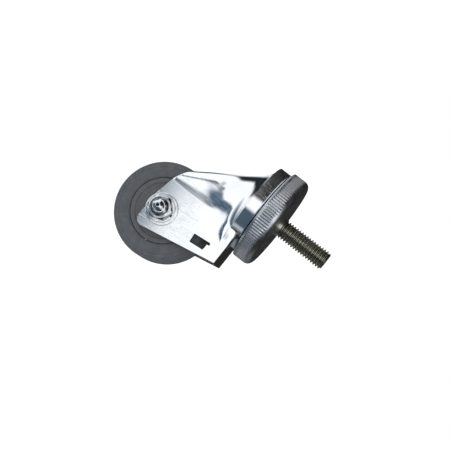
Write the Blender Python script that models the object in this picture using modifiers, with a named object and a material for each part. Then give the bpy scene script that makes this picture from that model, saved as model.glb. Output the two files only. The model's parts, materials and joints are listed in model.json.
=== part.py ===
"""Swivel caster with a threaded stem: a single wheel in a stamped fork, on two rows of balls.

The origin is on the stem's axis at the cap's mounting face. +Z runs up the stem, +X points to the
leading side, and the wheel trails towards -X on an axle along Y.
"""

from math import asin, cos, degrees, hypot, pi, radians, sin, sqrt, tan

import bmesh
import bpy
from mathutils import Matrix, Vector

MM = 0.001

# Fits
GAP = 0.3 * MM  # between pieces that press or bolt together
RUNNING = 0.1 * MM  # radial play of a piece that turns in or on another
BALL_PLAY = 0.2 * MM  # radial play of a ball in its groove

# Threaded stem and kingpin
STEM_RADIUS = 6.35 * MM
STEM_LENGTH = 36.5 * MM
STEM_TIP = 1.3 * MM  # chamfer at the stem's end
THREAD_PITCH = 25.4 / 13 * MM
THREAD_START = 1.2 * MM  # plain length above the cap
THREAD_DEPTH = 0.6134 * THREAD_PITCH
COLLAR_RADIUS = STEM_RADIUS + 3.15 * MM
KINGPIN_RADIUS = 5.0 * MM
KINGPIN_HEAD_RADIUS = KINGPIN_RADIUS + 3.5 * MM
KINGPIN_HEAD = 3.0 * MM

# Balls
BALL_RADIUS = 3.175 * MM
UPPER_BALLS = 18
LOWER_BALLS = 10
UPPER_BALL_SPACE = 0.77 * MM  # free space from ball to ball
LOWER_BALL_SPACE = 0.45 * MM
UPPER_ORBIT = (BALL_RADIUS + UPPER_BALL_SPACE / 2) / sin(pi / UPPER_BALLS)
LOWER_ORBIT = (BALL_RADIUS + LOWER_BALL_SPACE / 2) / sin(pi / LOWER_BALLS)
GROOVE_DEPTH = 1.5 * MM  # of the grooves in the two pressed races
CROWN_GROOVE_DEPTH = 1.05 * MM  # of the two grooves in the fork's crown

# Cap and raceways
CAP_RADIUS = UPPER_ORBIT + 11.5 * MM
CAP_TO_CROWN = 0.8 * MM  # open gap under the cap's rim
CAP_WALL = 3.1 * MM
CAP_PLATE = 5.0 * MM
CAP_SHOULDER = 4.2 * MM  # rounding of the cap's upper rim
UPPER_RACE_THICKNESS = 3.7 * MM
UPPER_RACE_BORE = COLLAR_RADIUS + MM
LOWER_RACE_FLOOR = 1.8 * MM
LOWER_RACE_RIM = 1.2 * MM  # outside the groove
LOWER_RACE_CHAMFER = 1.5 * MM

# Wheel
WHEEL_RADIUS = 31.75 * MM
WHEEL_WIDTH = 28.0 * MM
WHEEL_CLEARANCE = 3.25 * MM  # wheel to kingpin head
WHEEL_ROOM = 2.0 * MM  # wheel to the hood, all round its tread
WHEEL_SIDE_ROOM = 1.0 * MM
TREAD_FLAT = 16.8 * MM  # width of the tread's cylindrical band
TREAD_SHOULDER = 2.0 * MM  # drop from the tread to the edge of the wheel's face
CORE_RADIUS = 20.7 * MM
CORE_RIM = 3.2 * MM
CORE_RECESS = 0.6 * MM  # core's side faces in from the wheel's
CORE_DRAFT = 0.4 * MM
HUB_WALL = 2.1 * MM
HUB_DRAFT = 1.0 * MM
WEB_WIDTH = 26.0 * MM

# Fork
SHEET = 2.1 * MM
LEG_ROOM = 2.9 * MM  # wheel's face to a leg
LEG_SPREAD = WHEEL_WIDTH / 2 + LEG_ROOM + SHEET  # centre plane to a leg's outer face
CROWN_RADIUS = CAP_RADIUS - 2.5 * MM
CROWN_PLATE = 3.0 * MM
CROWN_DEPTH = 8.0 * MM  # height of the crown's round wall at the front
CROWN_HOLLOW_MOUTH = 0.05 * MM  # the crown's hollow past its lower edge
REAR_PLATE_DROP = 2.0 * MM  # crown's top face down to the rear plate's
NECK_FILLET = 6.3 * MM  # hood to crown
LEG_BEND = 3.6 * MM  # leg to rear plate, outside
TRAIL = 38.25 * MM  # stem axis to axle
LEG_BELOW_AXLE = 9.5 * MM
LEG_REAR_BOTTOM = 15.25 * MM  # axle back to the leg's lower rear corner
LEG_REAR_TOP = 5.7 * MM  # axle back to the leg's upper rear corner
LEG_CORNER = 5.0 * MM
HOOD_CLEARANCE = 0.2 * MM  # wheel's leading edge to the hood's outer face, at axle height
TREAD_TO_FOLD = 12.7 * MM  # wheel's leading edge back to the fold
HOOD_BULGE = 7.8 * MM  # how far the hood swells sideways where it meets the crown
HOOD_CREASE = 0.17  # slope by which the hood turns in at the fold
SLOT_WIDTH = 6.0 * MM
SLOT_LENGTH = 11.8 * MM
SLOT_BELOW_PLATE = 15.3 * MM  # rear plate's top face to the slot's centre
SLOT_BEHIND_AXLE = 1.55 * MM
SLOT_TILT = radians(6)

# Axle and roller bearing
AXLE_RADIUS = 4.7625 * MM
BUSHING_RADIUS = AXLE_RADIUS + 1.5875 * MM
ROLLER_RADIUS = 1.5875 * MM
ROLLER_LENGTH = 24.0 * MM
ROLLERS = 8
SLEEVE_WALL = 1.5 * MM
CAGE_RING = 1.0 * MM
CAGE_BAR_RADIUS = 0.6 * MM
THRUST_WASHER = 1.0 * MM
HEX_FLATS = 3 * AXLE_RADIUS  # of bolt head and nut
HEX_FACE = 0.96  # of a hex's end face, in inscribed radii
HEX_REACH = 1.03  # of the cone that chamfers it, in corner radii
BOLT_HEAD = 6.0 * MM
NUT_HEIGHT = 5.9 * MM
NUT_TURN = 17  # degrees off a flat that faces the hood, as it was tightened
BOLT_PAST_NUT = 0.6 * MM
BOLT_CHAMFER = 0.6 * MM
WASHER_RADIUS = AXLE_RADIUS + 5.54 * MM
WASHER = 1.5 * MM
LOCK_WASHER_RADIUS = AXLE_RADIUS + 3.94 * MM
LOCK_WASHER = 2.0 * MM
LOCK_WASHER_SPLIT = 1.3 * MM
GREASE_BORE = 2.9 * MM
GREASE_BORE_DEPTH = 8.0 * MM
GREASE_PORT = 1.1 * MM

# Grease fitting
FITTING_SHANK = 2.6 * MM
FITTING_SHANK_LENGTH = 6.0 * MM
FITTING_HEX_FLATS = 7.94 * MM
FITTING_HEX = 2.2 * MM
FITTING_LENGTH = 7.8 * MM  # bolt end to the fitting's tip
FITTING_NECK = 2.2 * MM
FITTING_HEAD = 3.25 * MM
FITTING_HEAD_LENGTH = 2.6 * MM
FITTING_TIP_RIM = 0.5 * MM
FITTING_TIP_TAPER = 1.1 * MM
FITTING_BORE = 1.5 * MM
FITTING_MOUTH = 1.0 * MM
FITTING_LIP = 0.9 * MM
CHECK_BALL = 1.2 * MM
CHECK_TRAVEL = 0.6 * MM
SPRING_WIRE = 0.2 * MM
SPRING_TURNS = 4
SPRING_LENGTH = 2.6 * MM

# Facets
ROUND = 40
THREAD_ROUND = 12

# Levels along the stem, from the mounting face down
UPPER_RACE_TOP = -CAP_PLATE - GAP
UPPER_RACE_BOTTOM = UPPER_RACE_TOP - UPPER_RACE_THICKNESS
GROOVE_RADIUS = BALL_RADIUS + BALL_PLAY
UPPER_BALL_Z = UPPER_RACE_BOTTOM - GROOVE_RADIUS + GROOVE_DEPTH
CROWN_TOP = UPPER_BALL_Z - GROOVE_RADIUS + CROWN_GROOVE_DEPTH
CAP_HEIGHT = -CROWN_TOP - CAP_TO_CROWN
CROWN_UNDER = CROWN_TOP - CROWN_PLATE
CROWN_BOTTOM = CROWN_TOP - CROWN_DEPTH
REAR_PLATE_TOP = CROWN_TOP - REAR_PLATE_DROP
LOWER_BALL_Z = CROWN_UNDER - GROOVE_RADIUS + CROWN_GROOVE_DEPTH
LOWER_RACE_TOP = LOWER_BALL_Z - GROOVE_RADIUS + GROOVE_DEPTH
LOWER_RACE_BOTTOM = LOWER_RACE_TOP - GROOVE_DEPTH - LOWER_RACE_FLOOR
KINGPIN_HEAD_TOP = LOWER_RACE_BOTTOM - GAP
KINGPIN_END = KINGPIN_HEAD_TOP - KINGPIN_HEAD

# The axle
AXLE_X = -TRAIL
AXLE_Z = KINGPIN_END - WHEEL_CLEARANCE - WHEEL_RADIUS
AXLE = Vector((AXLE_X, 0, AXLE_Z))
LEG_INSIDE = LEG_SPREAD - SHEET
WASHER_FACE = LEG_SPREAD + GAP
CLAMP_FACE = WASHER_FACE + WASHER + GAP
NUT_FACE = CLAMP_FACE + LOCK_WASHER + GAP
BOLT_END = NUT_FACE + NUT_HEIGHT + BOLT_PAST_NUT
ROLLER_ORBIT = BUSHING_RADIUS + ROLLER_RADIUS + RUNNING / 2
SLEEVE_BORE = ROLLER_ORBIT + ROLLER_RADIUS + RUNNING / 2
SLEEVE_RADIUS = SLEEVE_BORE + SLEEVE_WALL
THRUST_WASHER_RADIUS = SLEEVE_RADIUS - GAP
HUB_RADIUS = SLEEVE_RADIUS + GAP + HUB_WALL
HUB_WIDTH = 2 * (LEG_INSIDE - THRUST_WASHER - 2 * GAP)
ALONG_Y = Matrix.Rotation(-pi / 2, 4, "X")

# The fork's outline, seen from the side
FOLD_X = AXLE_X + WHEEL_RADIUS - TREAD_TO_FOLD  # where the flat leg turns into the hood
LEG_BOTTOM = AXLE_Z - LEG_BELOW_AXLE
HOOD_FOOT_X = AXLE_X + WHEEL_RADIUS + HOOD_CLEARANCE
NECK_RADIUS = CROWN_RADIUS - NECK_FILLET
HOOD_SLOPE = (NECK_RADIUS - HOOD_FOOT_X) / (CROWN_BOTTOM - AXLE_Z)


# ---------------------------------------------------------------- helpers


def clear_scene():
    for obj in list(bpy.data.objects):
        bpy.data.objects.remove(obj, do_unlink=True)


def new_collection(name, hidden=False):
    made = bpy.data.collections.new(name)
    bpy.context.scene.collection.children.link(made)
    made.hide_render = hidden
    return made


def material(name, color, roughness, metallic):
    made = bpy.data.materials.new(name)
    made.use_nodes = True
    shader = made.node_tree.nodes["Principled BSDF"]
    shader.inputs["Base Color"].default_value = (*color, 1)
    shader.inputs["Roughness"].default_value = roughness
    shader.inputs["Metallic"].default_value = metallic
    made.diffuse_color = (*color, 1)
    return made


def link(name, mesh, collection, finish=None, origin=None, turn=None):
    """An object for the mesh, placed by its origin and turned by a rotation matrix."""
    made = bpy.data.objects.new(name, mesh)
    collection.objects.link(made)
    if finish:
        mesh.materials.append(finish)
    if turn:
        made.rotation_euler = turn.to_euler()
    if origin:
        made.location = origin
    return made


def as_cutter(obj):
    obj.hide_render = True
    obj.display_type = "WIRE"
    return obj


def boolean(obj, cutter, operation="DIFFERENCE"):
    modifier = obj.modifiers.new(operation.title(), "BOOLEAN")
    modifier.operation = operation
    modifier.object = cutter
    modifier.solver = "EXACT"


def profile_mesh(name, points, closed):
    """Edges through (radius, height) points in the XZ plane."""
    mesh = bpy.data.meshes.new(name)
    bm = bmesh.new()
    corners = [bm.verts.new((r, 0, z)) for r, z in points]
    for a, b in zip(corners, corners[1:] + corners[:1] if closed else corners[1:]):
        bm.edges.new((a, b))
    bm.to_mesh(mesh)
    bm.free()
    return mesh


def turned(name, points, collection, finish=None, origin=None, turn=None, closed=False, steps=ROUND):
    """A solid of revolution about its own Z axis, from a profile that runs down its outer side."""
    made = link(name, profile_mesh(name, points, closed), collection, finish, origin, turn)
    screw = made.modifiers.new("Screw", "SCREW")
    screw.steps = steps
    screw.render_steps = steps
    screw.use_merge_vertices = True
    screw.merge_threshold = 0.00001
    screw.use_smooth_shade = True
    return made


def ring(outer, inner, top, bottom):
    """The profile of a plain ring or tube."""
    return [(outer, top), (outer, bottom), (inner, bottom), (inner, top)]


def arc(center_r, center_z, radius, start, end, count):
    """Points on an arc of a profile, with angles in degrees from +radius towards +height."""
    angles = [radians(start + (end - start) * i / count) for i in range(count + 1)]
    return [(center_r + radius * cos(a), center_z + radius * sin(a)) for a in angles]


def cylinder(name, radius, low, high, collection, finish=None, origin=None, turn=None, sides=ROUND):
    """A cylinder from one height to another on its own Z axis."""
    mesh = bpy.data.meshes.new(name)
    bm = bmesh.new()
    place = Matrix.Translation((0, 0, (low + high) / 2))
    bmesh.ops.create_cone(
        bm, cap_ends=True, segments=sides, radius1=radius, radius2=radius, depth=high - low, matrix=place
    )
    bm.to_mesh(mesh)
    bm.free()
    return link(name, mesh, collection, finish, origin, turn)


def hexagon(name, flats, low, high, collection, finish=None, origin=None, turn=None):
    return cylinder(name, flats / 2 / cos(pi / 6), low, high, collection, finish, origin, turn, sides=6)


def hex_envelope(name, flats, seat, end, collection):
    """The cone-ended cylinder that takes the corners off a hex at its end away from its seat."""
    reach = flats / 2 / cos(pi / 6) * HEX_REACH
    face = flats / 2 * HEX_FACE
    outwards = 1 if end > seat else -1
    drop = outwards * (reach - face) * tan(radians(30))
    past = seat - outwards * MM
    points = [(0, end), (face, end), (reach, end - drop), (reach, past), (0, past)]
    return as_cutter(turned(name, points[::outwards], collection, None, AXLE, ALONG_Y))


def torus(name, orbit, radius, z, collection):
    bpy.ops.mesh.primitive_torus_add(
        major_radius=orbit, minor_radius=radius, major_segments=ROUND, minor_segments=12, location=(0, 0, z)
    )
    made = bpy.context.object
    made.name = name
    for home in list(made.users_collection):
        home.objects.unlink(made)
    collection.objects.link(made)
    return as_cutter(made)


def outline_block(name, points, half_depth, collection):
    """A flat outline in the XZ plane, extruded along Y to both sides."""
    curve = bpy.data.curves.new(name, "CURVE")
    curve.dimensions = "2D"
    curve.fill_mode = "BOTH"
    curve.extrude = half_depth
    spline = curve.splines.new("POLY")
    spline.points.add(len(points) - 1)
    for point, (x, z) in zip(spline.points, points):
        point.co = (x, z, 0, 1)
    spline.use_cyclic_u = True
    return as_cutter(meshed(link(name, curve, collection, turn=Matrix.Rotation(pi / 2, 4, "X"))))


def meshed(obj):
    """The mesh object that stands for a curve object, with its caps welded on."""
    bpy.context.view_layer.update()
    graph = bpy.context.evaluated_depsgraph_get()
    mesh = bpy.data.meshes.new_from_object(obj.evaluated_get(graph))
    bm = bmesh.new()
    bm.from_mesh(mesh)
    bmesh.ops.remove_doubles(bm, verts=bm.verts, dist=0.00001)
    bmesh.ops.recalc_face_normals(bm, faces=bm.faces)
    bm.to_mesh(mesh)
    bm.free()
    name = obj.name
    collection = obj.users_collection[0]
    place = obj.matrix_world.copy()
    bpy.data.objects.remove(obj, do_unlink=True)
    made = bpy.data.objects.new(name, mesh)
    collection.objects.link(made)
    made.matrix_world = place
    return made


def smooth(edge_a, edge_b, value):
    share = min(max((value - edge_a) / (edge_b - edge_a), 0), 1)
    return share * share * (3 - 2 * share)


# ---------------------------------------------------------------- stem, cap and races


def shank_profile():
    """The plain part of the stem: press fit, collar, kingpin and its peened head."""
    core = STEM_RADIUS - THREAD_DEPTH
    dome_top = KINGPIN_HEAD_TOP - KINGPIN_HEAD * 0.3
    flat = KINGPIN_HEAD * 0.7 / KINGPIN_HEAD_RADIUS
    head = arc(0, 0, KINGPIN_HEAD_RADIUS, 0, -90, 5)
    dome = [(max(r, 0), dome_top + z * flat) for r, z in head]
    return [
        (0, THREAD_START + 2 * MM),
        (core * 0.8, THREAD_START + 2 * MM),
        (core * 0.9, THREAD_START + 0.4 * MM),
        (STEM_RADIUS, THREAD_START - 0.3 * MM),
        (STEM_RADIUS, UPPER_RACE_TOP),
        (COLLAR_RADIUS, UPPER_RACE_TOP),
        (COLLAR_RADIUS, UPPER_RACE_BOTTOM),
        (KINGPIN_RADIUS, UPPER_RACE_BOTTOM - MM),
        (KINGPIN_RADIUS, KINGPIN_HEAD_TOP),
        (KINGPIN_HEAD_RADIUS, KINGPIN_HEAD_TOP),
    ] + dome


def thread_body(collection):
    """A closed helical V thread that runs past both ends, with its end turns closed to the axis."""
    root = STEM_RADIUS - THREAD_DEPTH
    flank = THREAD_DEPTH * tan(radians(30))
    crest = THREAD_PITCH / 8
    low = THREAD_START - 2 * THREAD_PITCH
    rises = (0, flank, flank + crest, 2 * flank + crest, THREAD_PITCH)
    radii = (root, STEM_RADIUS, STEM_RADIUS, root, root)
    points = [(r, low + rise) for r, rise in zip(radii, rises)]
    body = link("threaded_stem", profile_mesh("threaded_stem", points[::-1], False), collection)
    screw = body.modifiers.new("Screw", "SCREW")
    screw.steps = THREAD_ROUND
    screw.render_steps = THREAD_ROUND
    screw.screw_offset = THREAD_PITCH
    screw.iterations = int((STEM_LENGTH - low) / THREAD_PITCH) + 2
    body = meshed(body)
    bm = bmesh.new()
    bm.from_mesh(body.data)
    open_edges = [edge for edge in bm.edges if edge.is_boundary]
    for lower in (True, False):
        ends = [e for e in open_edges if (e.verts[0].co.z < STEM_LENGTH / 2) == lower]
        levels = [vert.co.z for edge in ends for vert in edge.verts]
        tip = bm.verts.new((0, 0, sum(levels) / len(levels)))
        for edge in ends:
            bm.faces.new((*edge.verts, tip))
    bmesh.ops.recalc_face_normals(bm, faces=bm.faces)
    for face in bm.faces:
        face.smooth = True
    bm.to_mesh(body.data)
    bm.free()
    return body


def thread_envelope(collection):
    """What the threaded length may fill, with the chamfer of the stem's tip."""
    reach = STEM_RADIUS + MM
    tip = STEM_RADIUS - STEM_TIP
    points = [
        (0, STEM_LENGTH),
        (tip, STEM_LENGTH),
        (reach, STEM_LENGTH - (reach - tip)),
        (reach, THREAD_START - 0.1 * MM),
        (0, THREAD_START - 0.1 * MM),
    ]
    return as_cutter(turned("thread_envelope", points, collection, steps=THREAD_ROUND * 2))


def make_stem(parts, cutters, steel):
    stem = thread_body(parts)
    stem.data.materials.append(steel)
    boolean(stem, thread_envelope(cutters), "INTERSECT")
    shank = as_cutter(turned("stem_shank", shank_profile(), cutters, steps=THREAD_ROUND * 2))
    boolean(stem, shank, "UNION")


def make_cap(parts, steel):
    inside = CAP_RADIUS - CAP_WALL
    bore = STEM_RADIUS + GAP
    shoulder = arc(CAP_RADIUS - CAP_SHOULDER, -CAP_SHOULDER, CAP_SHOULDER, 90, 0, 5)
    points = [(bore, 0)] + shoulder
    points += [(CAP_RADIUS, -CAP_HEIGHT), (inside, -CAP_HEIGHT), (inside, -CAP_PLATE), (bore, -CAP_PLATE)]
    turned("swivel_cap", points, parts, steel, closed=True, steps=60)


def groove(orbit, z, level, above):
    """The arc that a ball groove cuts into a flat race face, from its outer edge to its inner one."""
    half = degrees(asin(abs(level - z) / GROOVE_RADIUS))
    if above:
        return arc(orbit, z, GROOVE_RADIUS, half, 180 - half, 5)
    return arc(orbit, z, GROOVE_RADIUS, -half, half - 180, 5)


def make_races(parts, hardened):
    outer = CAP_RADIUS - CAP_WALL - GAP
    points = [(outer, UPPER_RACE_TOP), (outer, UPPER_RACE_BOTTOM)]
    points += groove(UPPER_ORBIT, UPPER_BALL_Z, UPPER_RACE_BOTTOM, True)
    points += [(UPPER_RACE_BORE, UPPER_RACE_BOTTOM), (UPPER_RACE_BORE, UPPER_RACE_TOP)]
    turned("upper_race", points, parts, hardened, closed=True)
    outer = LOWER_ORBIT + GROOVE_RADIUS + LOWER_RACE_RIM
    bore = KINGPIN_RADIUS + GAP
    points = [
        (outer, LOWER_RACE_TOP),
        (outer, LOWER_RACE_TOP - GROOVE_DEPTH),
        (outer - LOWER_RACE_CHAMFER, LOWER_RACE_BOTTOM),
        (bore, LOWER_RACE_BOTTOM),
        (bore, LOWER_RACE_TOP),
    ]
    points += groove(LOWER_ORBIT, LOWER_BALL_Z, LOWER_RACE_TOP, False)[::-1]
    turned("lower_race", points, parts, hardened, closed=True)


def make_balls(parts, name, count, orbit, z, steel):
    """A full row of balls on its orbit, each its own piece with the orbit's axis as its origin."""
    for i in range(count):
        turn = 2 * pi * (i + 0.5) / count
        mesh = bpy.data.meshes.new(f"{name}_{i + 1:02d}")
        bm = bmesh.new()
        place = Matrix.Translation((orbit, 0, 0))
        bmesh.ops.create_uvsphere(bm, u_segments=8, v_segments=6, radius=BALL_RADIUS, matrix=place)
        for face in bm.faces:
            face.smooth = True
        bm.to_mesh(mesh)
        bm.free()
        link(mesh.name, mesh, parts, steel, Vector((0, 0, z)), Matrix.Rotation(turn, 4, "Z"))


# ---------------------------------------------------------------- fork


def hood_front(z):
    """How far forward the hood's outer face reaches at a height, on the caster's centre plane."""
    return HOOD_FOOT_X + HOOD_SLOPE * (z - AXLE_Z)


def fork_section(z, inset):
    """Half of the fork's outer section at a height: rear end, flat leg, then round the hood to its nose."""
    side = LEG_SPREAD - inset
    level = min(z, CROWN_BOTTOM)
    nose = hood_front(level) - FOLD_X - inset * hypot(1, HOOD_SLOPE)
    climb = (level - AXLE_Z) / (CROWN_BOTTOM - AXLE_Z)
    bulge = HOOD_BULGE * max(climb, 0) ** 2.2
    power = 5.5 - 3.3 * smooth(0.1, 0.65, climb)
    rise = min(max(level - (CROWN_BOTTOM - NECK_FILLET), 0), NECK_FILLET)
    spread = 1 - sqrt(max(1 - (rise / NECK_FILLET) ** 2, 0))
    rim = CROWN_RADIUS - GAP - inset
    hood = []
    for i in range(13):
        turn = pi / 2 * i / 12
        along = sin(turn) ** (2 / power)
        x = FOLD_X + nose * along
        y = side * max(cos(turn), 0) ** (2 / power) + bulge * sin(2 * turn)
        y -= HOOD_CREASE * nose * along * (1 - along) ** 2
        scale = 1 + spread * (rim / hypot(x, y) - 1)
        hood.append((x * scale, y * scale))
    flare = hood[0][1] - side
    far = AXLE_X - LEG_REAR_BOTTOM - 10 * MM
    settle = FOLD_X - 14 * MM
    leg = [(far, side), (settle, side)]
    for share in (0.35, 0.7):
        leg.append((settle + (hood[0][0] - settle) * share, side + flare * smooth(0, 1, share)))
    return leg + hood


def loft(name, levels, section, collection, finish=None):
    """A closed solid through the same number of points at each level, mirrored across the XZ plane."""
    mesh = bpy.data.meshes.new(name)
    bm = bmesh.new()
    rings = []
    for z in levels:
        half = section(z)
        whole = half + [(x, -y) for x, y in reversed(half[:-1])]
        rings.append([bm.verts.new((x, y, z)) for x, y in whole])
    for low, high in zip(rings, rings[1:]):
        count = len(low)
        for i in range(count):
            j = (i + 1) % count
            bm.faces.new((low[i], low[j], high[j], high[i]))
    bm.faces.new(rings[0])
    bm.faces.new(rings[-1])
    bmesh.ops.recalc_face_normals(bm, faces=bm.faces)
    bm.to_mesh(mesh)
    bm.free()
    return link(name, mesh, collection, finish)


def hood_levels(top):
    """Heights from under the legs up to a top level, closer together in the neck's fillet."""
    low = LEG_BOTTOM - 4 * MM
    neck = CROWN_BOTTOM - NECK_FILLET
    levels = [low + (neck - low) * i / 7 for i in range(8)]
    levels += [CROWN_BOTTOM - NECK_FILLET * (1 - sin(radians(a))) for a in (30, 50, 68, 90)]
    return levels + [top]


def bent_section(z):
    """The outer section with the legs' upper corners rounded over into the rear plate."""
    rise = min(max(z - (REAR_PLATE_TOP - LEG_BEND), 0), LEG_BEND)
    inset = LEG_BEND - sqrt(max(LEG_BEND**2 - rise**2, 0))
    return [(x, y * (1 - inset / LEG_SPREAD)) for x, y in fork_section(z, 0)]


def side_outline():
    """The fork seen from the side: rear edge, rounded lower corner, sole, and the hood's lower edge."""
    rear_foot = Vector((AXLE_X - LEG_REAR_BOTTOM, LEG_BOTTOM))
    rear_top = Vector((AXLE_X - LEG_REAR_TOP, REAR_PLATE_TOP))
    up = (rear_top - rear_foot).normalized()
    lean = pi / 2 + Vector((0, 1)).angle(up)
    reach = LEG_CORNER / tan(lean / 2)
    sole = rear_foot + Vector((reach, 0))
    middle = sole + Vector((0, LEG_CORNER))
    front = AXLE_X + WHEEL_RADIUS
    points = [tuple(rear_top + up * 10 * MM)]
    for i in range(6):
        turn = 1.5 * pi - (pi - lean) * (1 - i / 5)
        points.append((middle.x + LEG_CORNER * cos(turn), middle.y + LEG_CORNER * sin(turn)))
    points += [
        (AXLE_X + 5 * MM, LEG_BOTTOM),
        (FOLD_X - 2.6 * MM, LEG_BOTTOM + 2.3 * MM),
        (FOLD_X + 2.4 * MM, LEG_BOTTOM + 3.7 * MM),
        (front - 3.1 * MM, AXLE_Z - 1.8 * MM),
        (front + 4.5 * MM, AXLE_Z + 5.0 * MM),
        (front + 20.0 * MM, AXLE_Z + 19.0 * MM),
        (CROWN_RADIUS + 10 * MM, CROWN_BOTTOM - 10 * MM),
        (CROWN_RADIUS + 10 * MM, 0),
        (points[0][0], 0),
    ]
    return points


def make_fork(parts, cutters, plated):
    fork = loft("fork", bend_levels(), bent_section, parts, plated)
    crown = as_cutter(cylinder("crown_round", CROWN_RADIUS, CROWN_BOTTOM, CROWN_TOP, cutters, sides=72))
    boolean(fork, crown, "UNION")
    boolean(fork, outline_block("fork_outline", side_outline(), 40 * MM, cutters), "INTERSECT")
    side = WHEEL_WIDTH / 2 + WHEEL_SIDE_ROOM
    room = WHEEL_RADIUS + WHEEL_ROOM
    boolean(fork, as_cutter(cylinder("wheel_room", room, -side, side, cutters, None, AXLE, ALONG_Y, 64)))
    under = REAR_PLATE_TOP - SHEET
    hollow = as_cutter(loft("fork_hollow", hood_levels(under), lambda z: fork_section(z, SHEET), cutters))
    boolean(fork, hollow)
    dome = CROWN_RADIUS - SHEET - GAP - MM
    mouth = CROWN_BOTTOM - CROWN_HOLLOW_MOUTH
    boolean(fork, as_cutter(cylinder("crown_hollow", dome, mouth, CROWN_UNDER, cutters)))
    boolean(fork, torus("crown_upper_groove", UPPER_ORBIT, GROOVE_RADIUS, UPPER_BALL_Z, cutters))
    boolean(fork, torus("crown_lower_groove", LOWER_ORBIT, GROOVE_RADIUS, LOWER_BALL_Z, cutters))
    bore = KINGPIN_RADIUS + 3 * GAP
    boolean(fork, as_cutter(cylinder("kingpin_hole", bore, CROWN_UNDER - MM, CROWN_TOP + MM, cutters)))
    through = LEG_SPREAD + MM
    hole = AXLE_RADIUS + GAP
    boolean(fork, as_cutter(cylinder("axle_hole", hole, -through, through, cutters, None, AXLE, ALONG_Y)))
    boolean(fork, make_slot_cutter(cutters, through))


def bend_levels():
    levels = hood_levels(REAR_PLATE_TOP - LEG_BEND)
    bend = [REAR_PLATE_TOP - LEG_BEND * (1 - sin(radians(a))) for a in (30, 55, 75, 90)]
    return levels + bend


def make_slot_cutter(cutters, through):
    mesh = bpy.data.meshes.new("leg_slots")
    bm = bmesh.new()
    bmesh.ops.create_cube(bm, size=1, matrix=Matrix.Diagonal((SLOT_WIDTH, 2 * through, SLOT_LENGTH, 1)))
    bm.to_mesh(mesh)
    bm.free()
    place = Vector((AXLE_X - SLOT_BEHIND_AXLE, 0, REAR_PLATE_TOP - SLOT_BELOW_PLATE))
    return as_cutter(link("leg_slots", mesh, cutters, None, place, Matrix.Rotation(SLOT_TILT, 4, "Y")))


# ---------------------------------------------------------------- axle


def make_bolt(parts, cutters, plated):
    head = -CLAMP_FACE - BOLT_HEAD
    bolt = hexagon("axle_bolt", HEX_FLATS, head, -CLAMP_FACE, parts, plated, AXLE, ALONG_Y)
    boolean(bolt, hex_envelope("bolt_head_chamfer", HEX_FLATS, -CLAMP_FACE, head, cutters), "INTERSECT")
    points = [
        (0, BOLT_END),
        (AXLE_RADIUS - BOLT_CHAMFER, BOLT_END),
        (AXLE_RADIUS, BOLT_END - BOLT_CHAMFER),
        (AXLE_RADIUS, -CLAMP_FACE - MM),
        (0, -CLAMP_FACE - MM),
    ]
    shank = as_cutter(turned("bolt_shank", points, cutters, None, AXLE, ALONG_Y, steps=32))
    boolean(bolt, shank, "UNION")
    floor = BOLT_END - GREASE_BORE_DEPTH
    drilling = ("grease_drilling", GREASE_BORE, floor, BOLT_END + MM)
    feed = ("grease_feed", GREASE_PORT, -MM, floor + MM)
    for name, radius, low, high in (drilling, feed):
        bore = cylinder(name, radius, low, high, cutters, None, AXLE, ALONG_Y, 24)
        boolean(bolt, as_cutter(bore))
    boolean(bolt, grease_port("bolt_grease_port", cutters))


def grease_port(name, cutters):
    """A radial hole from the axle's centre down to where the grease leaves."""
    place = AXLE + Vector((0, 0, -BUSHING_RADIUS))
    return as_cutter(cylinder(name, GREASE_PORT, -MM, BUSHING_RADIUS, cutters, None, place, sides=12))


def make_nut(parts, cutters, plated):
    top = NUT_FACE + NUT_HEIGHT
    turn = ALONG_Y @ Matrix.Rotation(radians(NUT_TURN), 4, "Z")
    nut = hexagon("axle_nut", HEX_FLATS, NUT_FACE, top, parts, plated, AXLE, turn)
    envelope = hex_envelope("nut_chamfer", HEX_FLATS, NUT_FACE, top, cutters)
    boolean(nut, envelope, "INTERSECT")
    reach = (NUT_FACE - MM, top + MM)
    bore = cylinder("nut_bore", AXLE_RADIUS + GAP, *reach, cutters, None, AXLE, ALONG_Y, 32)
    boolean(nut, as_cutter(bore))


def make_lock_washer(parts, cutters, plated):
    """A split spring washer, with its split towards the crown."""
    points = ring(LOCK_WASHER_RADIUS, AXLE_RADIUS + GAP, CLAMP_FACE + LOCK_WASHER, CLAMP_FACE)
    washer = turned("lock_washer", points, parts, plated, AXLE, ALONG_Y, closed=True, steps=32)
    mesh = bpy.data.meshes.new("washer_split")
    bm = bmesh.new()
    size = Matrix.Diagonal((LOCK_WASHER_SPLIT, LOCK_WASHER_RADIUS, 4 * LOCK_WASHER, 1))
    bmesh.ops.create_cube(bm, size=1, matrix=size)
    bm.to_mesh(mesh)
    bm.free()
    place = AXLE + Vector((0.2 * MM, CLAMP_FACE + LOCK_WASHER / 2, (AXLE_RADIUS + LOCK_WASHER_RADIUS) / 2))
    slant = Matrix.Rotation(radians(20), 4, "Z") @ Matrix.Rotation(pi / 2, 4, "X")
    boolean(washer, as_cutter(link("washer_split", mesh, cutters, None, place, slant)))


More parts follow.
